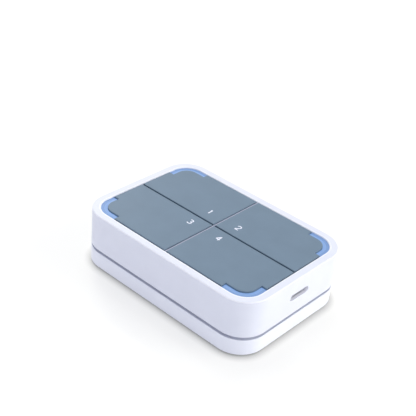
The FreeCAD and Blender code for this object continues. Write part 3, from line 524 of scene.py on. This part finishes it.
# Solder mask over glass cloth, whose threads show as a faint relief of crossing waves.
# The sawn edge of the board shows the plies of its bare laminate.
def makeBoardMask():
    finish, tree, shader = newFinish("boardMask", boardLook)
    normal = addNode(tree, "NewGeometry").outputs["True Normal"]
    upright = addNode(tree, "SeparateXYZ", {0: normal}).outputs[2]
    face = ease(tree, calc(tree, "ABSOLUTE", upright), *boardLook["upright"])
    sawn = calc(tree, "SUBTRACT", 1.0, face)
    scales = (boardLook["weaveScale"], boardLook["weaveScale"], boardLook["plyScale"])
    waves = [calc(tree, "PINGPONG", calc(tree, "MULTIPLY", along, scale), 1.0)
             for along, scale in zip(splitPlace(tree), scales)]
    overlay(tree, shader, sawn, **boardLook["laminate"])
    addRelief(tree, shader, allOf(tree, sawn, waves[2]), *boardLook["plyRelief"])
    addRelief(tree, shader, allOf(tree, face, waves[0], waves[1]), *boardLook["weaveRelief"])
    dress(finish, "circuit_board")


lampLook = {
    "colour": (0.74, 0.73, 0.68), "colourHigh": (0.82, 0.81, 0.76), "roughnessRange": (0.3, 0.4),
    "grainScale": 5000.0, "grainStrength": 0.2, "grainDepth": 0.01 * mm,
    "middles": ((29.65 * mm, 25.15 * mm), (38.35 * mm, 17.55 * mm)),
    "resin": {"colour": (0.80, 0.62, 0.12), "roughness": 0.15}, "resinRadius": 0.44 * mm,
    "end": (0.60 * mm, 0.90 * mm), "endHalf": 0.7 * mm,
}


# A pale frame with a round pool of yellow resin, between two tinned ends.
def makeLamps():
    finish, tree, shader = newFinish("lampFrame", lampLook)
    place = splitPlace(tree)
    radius, half = lampLook["resinRadius"], lampLook["endHalf"]
    for middle in lampLook["middles"]:
        off = [mirrored(tree, place[axis], middle[axis]) for axis in (0, 1)]
        pool = ease(tree, diagonal(tree, off), radius + plainFade, radius)
        overlay(tree, shader, pool, **lampLook["resin"])
        end = within(tree, off[0], *lampLook["end"])
        overlay(tree, shader, allOf(tree, end, ease(tree, off[1], half + wideFade, half)), **tin)
    dress(finish, "corner_lamps")


moduleLook = {
    "colour": (0.010, 0.035, 0.105), "colourHigh": (0.016, 0.050, 0.135), "roughnessRange": (0.28, 0.38),
    "grainScale": 1600.0, "grainStrength": 0.15, "grainDepth": 0.02 * mm, "Coat Weight": 0.3,
    "padPitch": 1.27 * mm, "padHalf": 0.40 * mm, "padReach": 0.85 * mm, "padStart": -33.4 * mm,
    "padMargin": 0.3 * mm, "padRelief": (0.5, 0.04 * mm),
}


# Dark blue mask with a row of gold pads along both long edges, beside the shield can.
def makeModuleMask():
    finish, tree, shader = newFinish("moduleMask", moduleLook)
    place = splitPlace(tree)
    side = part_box("radio_module")[1].y
    fromEdge = calc(tree, "SUBTRACT", side, calc(tree, "ABSOLUTE", place[1]))
    step = calc(tree, "PINGPONG", place[0], moduleLook["padPitch"] / 2)
    reach, half, start = moduleLook["padReach"], moduleLook["padHalf"], moduleLook["padStart"]
    pads = allOf(tree, ease(tree, fromEdge, reach + plainFade, reach),
                 ease(tree, step, half + plainFade, half), ease(tree, place[0], start - crispFade, start))
    overlay(tree, shader, pads, **gold)
    addRelief(tree, shader, pads, *moduleLook["padRelief"])
    dress(finish, "radio_module")


coilLook = {
    "colour": (0.060, 0.060, 0.064), "colourHigh": (0.125, 0.125, 0.130), "roughnessRange": (0.55, 0.75),
    "grainScale": 3600.0, "grainStrength": 0.8, "grainDepth": 0.05 * mm,
    "terminalStart": 1.75 * mm, "terminalHeight": 0.55 * mm,
}


# Pressed powder round a winding, with a tinned terminal folded up at both ends.
def makeCoil():
    finish, tree, shader = newFinish("coilPowder", coilLook)
    low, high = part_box("power_coil")
    place = splitPlace(tree, ((low.x + high.x) / 2, (low.y + high.y) / 2, boardTop))
    start, height = coilLook["terminalStart"], coilLook["terminalHeight"]
    ends = ease(tree, calc(tree, "ABSOLUTE", place[1]), start, start + plainFade)
    overlay(tree, shader, allOf(tree, ends, ease(tree, place[2], height + plainFade, height)), **tin)
    dress(finish, "power_coil")


capacitorLook = {
    "colour": (0.30, 0.19, 0.10), "colourHigh": (0.38, 0.25, 0.14), "roughnessRange": (0.35, 0.5),
    "grainScale": 5200.0, "grainStrength": 0.3, "grainDepth": 0.02 * mm,
    "rowPlace": 1.2 * mm, "endStart": 0.46 * mm, "width": 0.8 * mm, "count": 3,
}


# Brown ceramic with tinned ends.
def makeCapacitors():
    finish, tree, shader = newFinish("capacitorCeramic", capacitorLook)
    off = mirrored(tree, splitPlace(tree)[1], capacitorLook["rowPlace"])
    start = capacitorLook["endStart"]
    overlay(tree, shader, ease(tree, off, start, start + plainFade), **tin)
    dress(finish, "capacitors")


cellLook = {
    "colour": (0.60, 0.61, 0.63), "colourHigh": (0.68, 0.69, 0.71), "roughnessRange": (0.30, 0.42),
    "Metallic": 0.85, "grainScale": 900.0, "grainStrength": 0.3, "grainDepth": 0.05 * mm,
    "creaseScale": 70.0, "creaseDetail": 3.0, "creaseRelief": (0.25, 0.5 * mm),
    "seam": {"colour": (0.36, 0.37, 0.39), "roughness": 0.5}, "seamPlace": (1.1 * mm, 1.22 * mm),
    "tape": {"colour": (0.62, 0.33, 0.05), "roughness": 0.22, "metal": 0.15},
    "tapePlace": (20.0 * mm, 20.04 * mm), "tapeRelief": (0.5, 0.06 * mm),
}


# Laminated foil with soft creases, a folded seam along each long side, and amber tape over the terminals.
def makeCell():
    finish, tree, shader = newFinish("cellFoil", cellLook)
    place = splitPlace(tree)
    creases = addNode(tree, "TexNoise", {"Vector": objectPlace(tree), "Scale": cellLook["creaseScale"],
                                         "Detail": cellLook["creaseDetail"]})
    addRelief(tree, shader, creases.outputs[0], *cellLook["creaseRelief"])
    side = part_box("battery_cell")[1].y
    fromSide = calc(tree, "SUBTRACT", side, calc(tree, "ABSOLUTE", place[1]))
    overlay(tree, shader, within(tree, fromSide, *cellLook["seamPlace"]), **cellLook["seam"])
    tape = ease(tree, place[0], *cellLook["tapePlace"])
    overlay(tree, shader, tape, **cellLook["tape"])
    addRelief(tree, shader, tape, *cellLook["tapeRelief"])
    dress(finish, "battery_cell")


# Looks of the new pieces, which have grain alone
steelLook = {
    "colour": (0.50, 0.50, 0.52), "colourHigh": (0.60, 0.60, 0.62), "roughnessRange": (0.25, 0.4),
    "grainScale": 3500.0, "grainStrength": 0.3, "grainDepth": 0.02 * mm, "Metallic": 1.0,
}
solderLook = {
    "colour": (0.62, 0.63, 0.65), "colourHigh": (0.72, 0.73, 0.75), "roughnessRange": (0.18, 0.3),
    "grainScale": 2500.0, "grainStrength": 0.2, "grainDepth": 0.02 * mm, "Metallic": 1.0,
}
goldLook = {
    "colour": (0.76, 0.53, 0.20), "colourHigh": (0.84, 0.61, 0.26), "roughnessRange": (0.2, 0.32),
    "grainScale": 4000.0, "grainStrength": 0.2, "grainDepth": 0.01 * mm, "Metallic": 1.0,
}
inkLook = {
    "colour": (0.86, 0.88, 0.93), "colourHigh": (0.92, 0.94, 0.98), "roughnessRange": (0.45, 0.55),
    "grainScale": 3000.0, "grainStrength": 0.2, "grainDepth": 0.01 * mm,
}
trackLook = {
    "colour": (0.024, 0.205, 0.098), "colourHigh": (0.032, 0.240, 0.118), "roughnessRange": (0.26, 0.34),
    "grainScale": 1400.0, "grainStrength": 0.15, "grainDepth": 0.02 * mm, "Coat Weight": 0.3,
    "rise": 0.02 * mm, "signal": 0.26 * mm, "power": 0.8 * mm, "shortest": 0.01 * mm,
    "lane": 1.4 * mm, "corner": 2.0 * mm, "drop": 3.5 * mm,
}

for name, look in innerLooks.items():
    dress(makePlain(name, look), *look["nodes"])
makeSwitches()
makeBoardMask()
makeLamps()
makeModuleMask()
makeCoil()
makeCapacitors()
makeCell()
screwSteel = makePlain("screwSteel", steelLook)
brightSolder = makePlain("brightSolder", solderLook)
contactGold = makePlain("contactGold", goldLook)
trackMask = makePlain("trackMask", trackLook)
printedInk = makePlain("printedInk", inkLook)
print("inner finishes ready")


# New pieces


# Joins rows of rings into quads, with a cap on each end, and turns the faces outwards
# by the sign of the volume that they enclose.
def tubeFaces(rings, offset):
    rows, columns = rings.shape[:2]
    index = np.arange(rows * columns).reshape(rows, columns)
    ahead = np.roll(index, -1, axis=1)
    quads = np.stack([index[:-1], ahead[:-1], ahead[1:], index[1:]], axis=-1).reshape(-1, 4)
    corners = (rings - rings.mean(axis=(0, 1))).reshape(-1, 3)[quads]
    volume = 0.0
    for a, b, c in ((0, 1, 2), (0, 2, 3)):
        volume += np.einsum("ij,ij->", corners[:, a], np.cross(corners[:, b], corners[:, c]))
    faces = (quads + offset).tolist()
    faces += [(index[0, ::-1] + offset).tolist(), (index[-1] + offset).tolist()]
    return faces if volume > 0 else [face[::-1] for face in faces]


def meshFromTubes(name, tubes, finish, body):
    points, faces, count = [], [], 0
    for rings in tubes:
        faces += tubeFaces(rings, count)
        points.append(rings.reshape(-1, 3))
        count += len(points[-1])
    mesh = bpy.data.meshes.new(name)
    mesh.from_pydata(np.vstack(points).tolist(), [], faces)
    mesh.update()
    mesh.materials.append(finish)
    piece = bpy.data.objects.new(name, mesh)
    bpy.context.scene.collection.objects.link(piece)
    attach(piece, body)
    return piece


# Points of an ellipse about a centre, between two turns in degrees.
def arc(centre, radii, start, end, count=28):
    turn = np.radians(np.linspace(start, end, count))
    return np.column_stack([centre[0] + radii[0] * np.cos(turn), centre[1] + radii[1] * np.sin(turn)])


# Even turns round a ring, as one row.
def ringTurns(columns):
    return np.linspace(0, 2 * math.pi, columns, endpoint=False)[None, :]


# A flat stroke: each point of the path moves half the width to both sides, along the sum of
# the two runs' normals over one plus their product, and the four edges make a ring.
def strokeRings(path, width, low, high):
    step = np.diff(path, axis=0)
    step /= np.linalg.norm(step, axis=1)[:, None]
    side = np.column_stack([-step[:, 1], step[:, 0]])
    before = np.vstack([side[:1], side])
    after = np.vstack([side, side[-1:]])
    miter = (before + after) / (1 + np.sum(before * after, axis=1))[:, None] * width / 2
    left, right = path + miter, path - miter
    level = np.ones(len(path))
    rows = [np.column_stack([edge, level * z]) for edge, z in
            ((left, high), (right, high), (right, low), (left, low))]
    return np.stack(rows, axis=1)


digitLook = {
    "halfWidth": 0.82 * mm, "halfHeight": 1.36 * mm, "stroke": 0.49 * mm,
    "rise": 0.015 * mm, "sink": 0.02 * mm, "stagger": 0.003 * mm,
    "places": {1: (-7.35, 5.85), 2: (7.50, 5.75), 3: (-7.30, -5.25), 4: (7.45, -5.25)},
}

# The strokes of each digit, in a box of about -1 to 1 both ways.
digitPaths = {
    1: [np.array([(0.25, 1.0), (0.25, -1.0)]), np.array([(0.25, 0.92), (-0.30, 0.62)])],
    2: [arc((0, 0.44), (1.0, 0.56), 165, -40), np.array([(0.70, 0.02), (-0.86, -0.86)]),
        np.array([(-1.0, -1.0), (1.05, -1.0)])],
    3: [arc((-0.08, 0.50), (0.92, 0.50), 150, -90), arc((-0.08, -0.50), (1.04, 0.50), 90, -150)],
    4: [np.array([(0.45, 1.0), (0.45, -1.0)]), np.array([(0.36, 0.92), (-1.0, -0.40)]),
        np.array([(-1.15, -0.46), (1.15, -0.46)])],
}


# Each stroke of a digit lies a little lower than the one before, so that no two tops coincide.
def makeDigits():
    size = np.array([digitLook["halfWidth"], digitLook["halfHeight"]])
    for digit, paths in digitPaths.items():
        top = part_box(f"key_{digit}")[1].z
        place = np.array(digitLook["places"][digit]) * mm
        tubes = [strokeRings(path * size + place, digitLook["stroke"], top - digitLook["sink"],
                             top + digitLook["rise"] - order * digitLook["stagger"])
                 for order, path in enumerate(paths)]
        meshFromTubes(f"digit_{digit}", tubes, printedInk, f"key_{digit}")


screwLooks = {
    "case_screws": {"pitch": 0.7 * mm, "bite": 0.24 * mm, "shank": 1.25 * mm, "head": 2.2 * mm,
                    "headHeight": 1.6 * mm},
    "board_screws": {"pitch": 0.5 * mm, "bite": 0.2 * mm, "shank": 1.0 * mm, "head": 1.9 * mm,
                     "headHeight": 1.2 * mm},
}

# What both kinds share: the tip's share of the shank's radius, the length along which a whole radius
# would be gained, the one over which the thread runs out, and the values between which the cross's
# arms and reach fade.
screwShape = {
    "columns": 24, "rowsPerTurn": 8, "tip": 0.35, "taper": 1.6 * mm, "runOut": 0.6 * mm,
    "domeRows": 9, "domeClimb": 80, "domeLag": 0.98,
    "arm": (0.132 * mm, 0.352 * mm), "reach": (0.25, 0.75),
}


# 1 up to the first edge, 0 from the second, and straight between them.
def fadeOut(value, first, second):
    return np.clip((second - value) / (second - first), 0, 1)


# A screw as one surface over the turn and the way along its outline. The shank's radius falls from
# the crest by the bite times the distance from the thread's helix, and narrows to the tip. The head's
# side, its dome and its cross each take half its height. The dome narrows with the root of the climb's
# cosine and rises with its sine. The cross is less deep further from the nearer of two arms, and
# further from the middle.
def screwRings(x, y, low, high, look):
    shape = screwShape
    turn = ringTurns(shape["columns"])
    seat = low + look["headHeight"]
    rows = int((high - seat) / look["pitch"] * shape["rowsPerTurn"])
    z = np.linspace(high, seat, rows)[:, None]
    phase = (z / look["pitch"] - turn / (2 * math.pi)) % 1.0
    crest = look["shank"] * np.clip(shape["tip"] + (high - z) / shape["taper"], 0, 1)
    cut = np.clip((z - seat) / shape["runOut"], 0, 1) * (crest / look["shank"])
    shank = crest - look["bite"] * np.abs(phase * 2 - 1) * cut
    climb = np.radians(np.linspace(0, shape["domeClimb"], shape["domeRows"]))[:, None]
    dome = look["head"] * np.cos(climb * shape["domeLag"]) ** 0.5 * np.ones_like(turn)
    offArm = np.minimum(np.abs(np.cos(turn)), np.abs(np.sin(turn))) * dome
    cross = fadeOut(offArm, *shape["arm"]) * fadeOut(dome / look["head"], *shape["reach"])
    domeZ = seat - look["headHeight"] / 2 * (1 + np.sin(climb) - cross)
    neck = np.ones_like(turn)
    radius = np.vstack([shank, neck * look["head"], dome])
    height = np.vstack([z * neck, neck * seat, domeZ])
    angle = turn * np.ones((len(radius), 1))
    return np.stack([x + radius * np.cos(angle), y + radius * np.sin(angle), height], axis=-1)


# Two screws of a kind stand on one diagonal, which the sign of the solids' mean X times Y gives.
def makeScrews():
    for name, look in screwLooks.items():
        low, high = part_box(name)
        reachX, reachY = high.x - look["head"], high.y - look["head"]
        points = np.array([vertex.co for vertex in nodes[name].data.vertices])
        rising = float(np.mean(points[:, 0] * points[:, 1])) > 0
        spots = [(-reachX, -reachY if rising else reachY), (reachX, reachY if rising else -reachY)]
        tubes = [screwRings(x, y, low.z, high.z, look) for x, y in spots]
        screws = meshFromTubes(name + "_threaded", tubes, screwSteel, "housing")
        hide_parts(name)


# A mound's half sizes along X and Y and its height, and where mounds of its kind stand.
solderSizes = {
    "leg": {"size": (0.62 * mm, 0.58 * mm, 0.50 * mm), "offset": (4.05 * mm, 2.25 * mm)},
    "lamp": {"size": (0.30 * mm, 0.52 * mm, 0.34 * mm), "offset": 0.86 * mm},
    "capacitor": {"size": (0.38 * mm, 0.24 * mm, 0.36 * mm), "offset": 0.86 * mm},
    "chip": {"size": (0.17 * mm, 0.30 * mm, 0.22 * mm), "pitch": 0.8 * mm},
    "module": {"size": (0.34 * mm, 0.45 * mm, 0.50 * mm)},
    "coil": {"size": (1.30 * mm, 0.40 * mm, 0.60 * mm)},
    "pin": {"size": (0.85 * mm, 0.85 * mm, 0.55 * mm), "offset": 1.0 * mm},
    "shell": {"size": (0.80 * mm, 0.42 * mm, 0.70 * mm), "fromBack": 1.2 * mm, "fromMouth": 2.4 * mm},
}
moundShape = {"rows": 5, "columns": 12, "climb": 78, "power": 0.6, "sink": 0.02 * mm}


# A mound of solder: rings shrink with the cosine of the climb and rise with its sine.
# Each ring is a rounded square, an ellipse whose cosine and sine are raised to a small power.
def moundRings(x, y, halfX, halfY, height):
    climb = np.radians(np.linspace(0, moundShape["climb"], moundShape["rows"]))[:, None]
    turn = ringTurns(moundShape["columns"]) + math.pi / moundShape["columns"]
    across, along = [np.sign(share) * np.abs(share) ** moundShape["power"]
                     for share in (np.cos(turn), np.sin(turn))]
    size = np.cos(climb)
    rise = boardTop - moundShape["sink"] + height * np.sin(climb) * np.ones_like(turn)
    return np.stack([x + halfX * size * across, y + halfY * size * along, rise], axis=-1)


# Places of the module's pads along its +Y edge, from the antenna on.
def modulePads():
    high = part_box("radio_module")[1]
    pitch = moduleLook["padPitch"]
    first = math.ceil(moduleLook["padStart"] / pitch)
    last = math.floor((high.x - moduleLook["padMargin"]) / pitch)
    return [(step * pitch, high.y) for step in range(first, last + 1)]


# Places of the joints of each kind of part on the board.
def solderSpots():
    ends = (-1, 1)
    signs = [(a, b) for a in ends for b in ends]
    switchX, switchY = switchLook["middle"]
    legX, legY = solderSizes["leg"]["offset"]
    spots = [("leg", switchX * a + legX * c, switchY * b + legY * e) for a, b in signs for c, e in signs]
    gap = solderSizes["lamp"]["offset"]
    spots += [("lamp", x * a + gap * end, y * b)
              for x, y in lampLook["middles"] for a, b in signs for end in ends]
    low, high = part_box("capacitors")
    gap, half = solderSizes["capacitor"]["offset"], capacitorLook["width"] / 2
    columnsX = np.linspace(low.x + half, high.x - half, capacitorLook["count"])
    spots += [("capacitor", x, capacitorLook["rowPlace"] * b + gap * end)
              for x in columnsX for b, end in signs]
    low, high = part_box("charger_chip")
    steps = np.arange(-2, 3) * solderSizes["chip"]["pitch"]
    spots += [("chip", (low.x + high.x) / 2 + step, high.y * end) for step in steps for end in ends]
    spots += [("module", x, y * end) for x, y in modulePads() for end in ends]
    low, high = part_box("power_coil")
    spots += [("coil", (low.x + high.x) / 2, y) for y in (low.y, high.y)]
    low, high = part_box("battery_header")
    middle, offset = (low.y + high.y) / 2, solderSizes["pin"]["offset"]
    spots += [("pin", (low.x + high.x) / 2 + offset * end, middle) for end in ends]
    low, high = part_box("charging_socket_shell")
    tabs = (low.x + solderSizes["shell"]["fromBack"], high.x - solderSizes["shell"]["fromMouth"])
    return spots + [("shell", x, high.y * end) for x in tabs for end in ends]


def makeSolder():
    tubes = [moundRings(x, y, *solderSizes[kind]["size"]) for kind, x, y in solderSpots()]
    meshFromTubes("solder_joints", tubes, brightSolder, "housing")


# A track's bends: straight for a share of what the longer way has over the shorter, then at 45 degrees,
# and then straight on.
def trackPath(start, end, share):
    start, end = np.array(start), np.array(end)
    gap = end - start
    slant = np.sign(gap) * np.abs(gap).min()
    bend = start + (gap - slant) * share
    points = np.array([start, bend, bend + slant, end])
    kept = np.linalg.norm(np.diff(points, axis=0), axis=1) > trackLook["shortest"]
    return points[np.append(True, kept)]


# Tracks of the +Y half of the board, each with its width: from the module's pads to the corner lamps and
# the switches, on to the far lamps, from the socket to the chip, and along the capacitors to the module.
def boardTracks():
    pads, side = modulePads(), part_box("radio_module")[1].y
    lane, corner, drop = trackLook["lane"], trackLook["corner"], trackLook["drop"]
    (switchX, switchY), (offX, offY) = switchLook["middle"], solderSizes["leg"]["offset"]
    farX, nearX, legY = switchX + offX, switchX - offX, switchY - offY
    gap = solderSizes["lamp"]["offset"]
    (longX, longY), (shortX, shortY) = lampLook["middles"]
    outX, inX = longX + gap, longX - gap
    laneX, turnY = farX + lane, side + farX + lane + pads[1][0]
    names = ("charger_chip", "charging_socket_shell", "radio_module")
    chip, socket, module = [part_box(name) for name in names]
    row = capacitorLook["rowPlace"]
    rail = row + solderSizes["capacitor"]["offset"]
    return [
        ("signal", trackPath(pads[0], (gap - shortX, shortY), 0)),
        ("signal", np.array([pads[1], (-laneX, turnY), (-laneX, shortY), (-outX, shortY + laneX - outX),
                             (-outX, longY)])),
        ("signal", trackPath(pads[2], (-farX, legY), 0.5)),
        ("signal", trackPath(pads[6], (-nearX, legY), 1)),
        ("signal", trackPath(pads[7], (nearX, legY), 0)),
        ("signal", np.array([(-inX, longY), (drop - inX, longY - drop), (inX - drop, longY - drop),
                             (inX, longY)])),
        ("signal", np.array([(outX, longY), (outX, shortY + corner), (outX + corner, shortY),
                             (shortX - gap, shortY)])),
        ("power", trackPath((socket[0].x, 2 * row), (chip[1].x, row), 0.3)),
        ("power", trackPath((chip[0].x, rail), (module[1].x, rail), 0)),
    ]


# The -Y half has the same tracks, and one more leads from the header's pin to the coil.
def makeTracks():
    paths = [(width, path * (1, side)) for side in (1, -1) for width, path in boardTracks()]
    (pinLow, pinHigh), (coilLow, coilHigh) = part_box("battery_header"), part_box("power_coil")
    pin = ((pinLow.x + pinHigh.x) / 2 - solderSizes["pin"]["offset"], (pinLow.y + pinHigh.y) / 2)
    paths.append(("power", trackPath(pin, (coilHigh.x, (coilLow.y + coilHigh.y) / 2), 0)))
    low, high = boardTop - trackLook["rise"], boardTop + trackLook["rise"]
    tubes = [strokeRings(path, trackLook[width], low, high) for width, path in paths]
    meshFromTubes("board_tracks", tubes, trackMask, "housing")


antennaLook = {"width": 0.5 * mm, "rise": 0.05 * mm, "turns": 6, "margin": 0.9 * mm, "reach": 4.9 * mm}


# The antenna's square wave: across and back between two lines, one step along the edge each time.
def makeAntenna():
    low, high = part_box("radio_module")
    margin, turns, rise = antennaLook["margin"], antennaLook["turns"], antennaLook["rise"]
    lines = low.x + np.array([margin, antennaLook["reach"]])
    steps = np.linspace(low.y + margin, high.y - margin, turns * 2)
    x = np.stack([lines, lines[::-1]] * turns).ravel()
    path = np.column_stack([x, np.repeat(steps, 2)])
    rings = strokeRings(path, antennaLook["width"], high.z - rise, high.z + rise)
    finish = nodes["radio_module"].data.materials[0]
    meshFromTubes("antenna_track", [rings], finish, "housing")


contactLook = {"count": 12, "pitch": 0.5 * mm, "width": 0.27 * mm, "rise": 0.02 * mm, "plate": 0.35 * mm,
               "start": 2.2 * mm, "end": 0.35 * mm}


# Two rows of gold contacts, one on each face of the socket's tongue.
def makeContacts():
    low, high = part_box("charging_socket_tongue")
    middle, count, rise = (low.z + high.z) / 2, contactLook["count"], contactLook["rise"]
    faces = [middle + contactLook["plate"] * side for side in (-1, 1)]
    tubes = []
    for y in (np.arange(count) - (count - 1) / 2) * contactLook["pitch"]:
        path = np.array([(low.x + contactLook["start"], y), (high.x - contactLook["end"], y)])
        tubes += [strokeRings(path, contactLook["width"], face - rise, face + rise) for face in faces]
    meshFromTubes("socket_contacts", tubes, contactGold, "housing")


makeDigits()
makeScrews()
makeSolder()
makeTracks()
makeAntenna()
makeContacts()
print("digits, screws and small inner pieces ready")


# Floor, light and camera

floorLook = {
    "half": 3.0, "points": 9, "bounce": (0.97, 0.97, 0.97), "seen": (0.66, 0.65, 0.58), "lift": 0.46,
    "reflect": 0.08, "reflectRoughness": 0.06, "samples": 16,
    "shades": {"around": (26 * mm, 0.10), "contact": (3.5 * mm, 0.65)},
}


# 1 for rays that come straight from the camera, or by gloss or glass.
def straightRays(tree):
    ray = addNode(tree, "LightPath").outputs
    either = calc(tree, "MAXIMUM", ray["Is Camera Ray"], ray["Is Glossy Ray"])
    return calc(tree, "MAXIMUM", either, ray["Is Transmission Ray"])


# The camera sees a floor that is white where it is lit and keeps the soft shadow. Near the case it darkens
# by its share of open sky, once over a wide reach and once in the gap under the edge.
def makeFloor():
    side = np.linspace(-floorLook["half"], floorLook["half"], floorLook["points"])
    x, y = np.meshgrid(side, side)
    points = np.column_stack([x.ravel(), y.ravel(), np.zeros(x.size)])
    index = np.arange(x.size).reshape(x.shape)
    corners = [index[:-1, :-1], index[:-1, 1:], index[1:, 1:], index[1:, :-1]]
    mesh = bpy.data.meshes.new("floor")
    mesh.from_pydata(points.tolist(), [], np.stack(corners, axis=-1).reshape(-1, 4).tolist())
    floor = bpy.data.objects.new("floor", mesh)
    bpy.context.scene.collection.objects.link(floor)
    finish = bpy.data.materials.new("floorPaper")
    tree = emptyTree(finish)
    shades = []
    for reach, share in floorLook["shades"].values():
        sky = addNode(tree, "AmbientOcclusion", {"Distance": reach}, samples=floorLook["samples"])
        shades.append(calc(tree, "MULTIPLY_ADD", sky.outputs["AO"], share, 1 - share))
    openShare = allOf(tree, *shades)
    pale, black = fullColour(floorLook["seen"]), (0, 0, 0, 1)
    seen = addNode(tree, "BsdfDiffuse", {"Color": blendColours(tree, openShare, black, pale)})
    lift = addNode(tree, "Emission", {"Strength": calc(tree, "MULTIPLY", openShare, floorLook["lift"])})
    bounce = addNode(tree, "BsdfDiffuse", {"Color": fullColour(floorLook["bounce"])})
    gloss = addNode(tree, "BsdfGlossy", {"Roughness": floorLook["reflectRoughness"]})
    plain = addNode(tree, "AddShader", {0: seen.outputs[0], 1: lift.outputs[0]})
    shown = addNode(tree, "MixShader", {0: floorLook["reflect"], 1: plain.outputs[0], 2: gloss.outputs[0]})
    both = addNode(tree, "MixShader", {0: straightRays(tree), 1: bounce.outputs[0], 2: shown.outputs[0]})
    addNode(tree, "OutputMaterial", {"Surface": both.outputs[0]})
    mesh.materials.append(finish)


lightLook = {
    "ambient": (0.565, 0.575, 0.69),
    "patches": {
        "card": {"colour": (0.30, 0.31, 0.40), "from": (-0.30, 0.90, 0.30), "spread": (0.62, 0.92)},
        "side": {"colour": (3.5, 3.5, 3.5), "from": (0.81, 0.56, 0.16), "spread": (0.76, 0.98)},
    },
    "lamps": {
        "overheadSoft": {"colour": (0.96, 0.985, 1.0), "from": (-0.46, 0.16, 0.87), "energy": 0.82,
                         "angle": 50},
        "sweepSoft": {"colour": (0.97, 0.99, 1.0), "from": (-0.76, 0.46, 0.46), "energy": 0.46,
                      "angle": 14},
    },
}


# An even world with a dark card behind the case, which holds back light from its +Y wall,
# and a bright patch at its +X end. Straight rays see plain white.
def makeLight():
    world = bpy.data.worlds.new("studio")
    bpy.context.scene.world = world
    tree = emptyTree(world)
    direction = addNode(tree, "TexCoord").outputs["Generated"]
    colour = fullColour(lightLook["ambient"])
    for patch in lightLook["patches"].values():
        aim = Vector(patch["from"]).normalized()
        towards = addNode(tree, "VectorMath", {0: direction, 1: aim}, operation="DOT_PRODUCT")
        share = ease(tree, towards.outputs["Value"], *patch["spread"])
        colour = blendColours(tree, share, colour, fullColour(patch["colour"]))
    soft = addNode(tree, "Background", {"Color": colour, "Strength": 1.0})
    white = addNode(tree, "Background", {"Color": (1, 1, 1, 1), "Strength": 1.0})
    both = addNode(tree, "MixShader", {0: straightRays(tree), 1: soft.outputs[0], 2: white.outputs[0]})
    addNode(tree, "OutputWorld", {"Surface": both.outputs[0]})
    for name, look in lightLook["lamps"].items():
        lamp = bpy.data.lights.new(name, "SUN")
        lamp.energy = look["energy"]
        lamp.angle = math.radians(look["angle"])
        lamp.color = look["colour"]
        holder = bpy.data.objects.new(name, lamp)
        holder.rotation_euler = Vector(look["from"]).to_track_quat("Z", "Y").to_euler()
        bpy.context.scene.collection.objects.link(holder)


cameraLook = {
    "place": (0.17877, -0.21928, 0.20809), "turn": (57.910, -4.980, 42.886), "lens": 76.35, "sensor": 36.0,
    "clipStart": 0.01,
}


def makeCamera():
    lens = bpy.data.cameras.new("camera")
    lens.lens = cameraLook["lens"]
    lens.sensor_width = cameraLook["sensor"]
    lens.clip_start = cameraLook["clipStart"]
    camera = bpy.data.objects.new("camera", lens)
    camera.location = cameraLook["place"]
    camera.rotation_euler = Euler([math.radians(turn) for turn in cameraLook["turn"]], "XYZ")
    bpy.context.scene.collection.objects.link(camera)
    bpy.context.scene.camera = camera


makeFloor()
makeLight()
makeCamera()
bpy.context.scene.view_settings.view_transform = "Standard"
print("floor, light and camera ready")
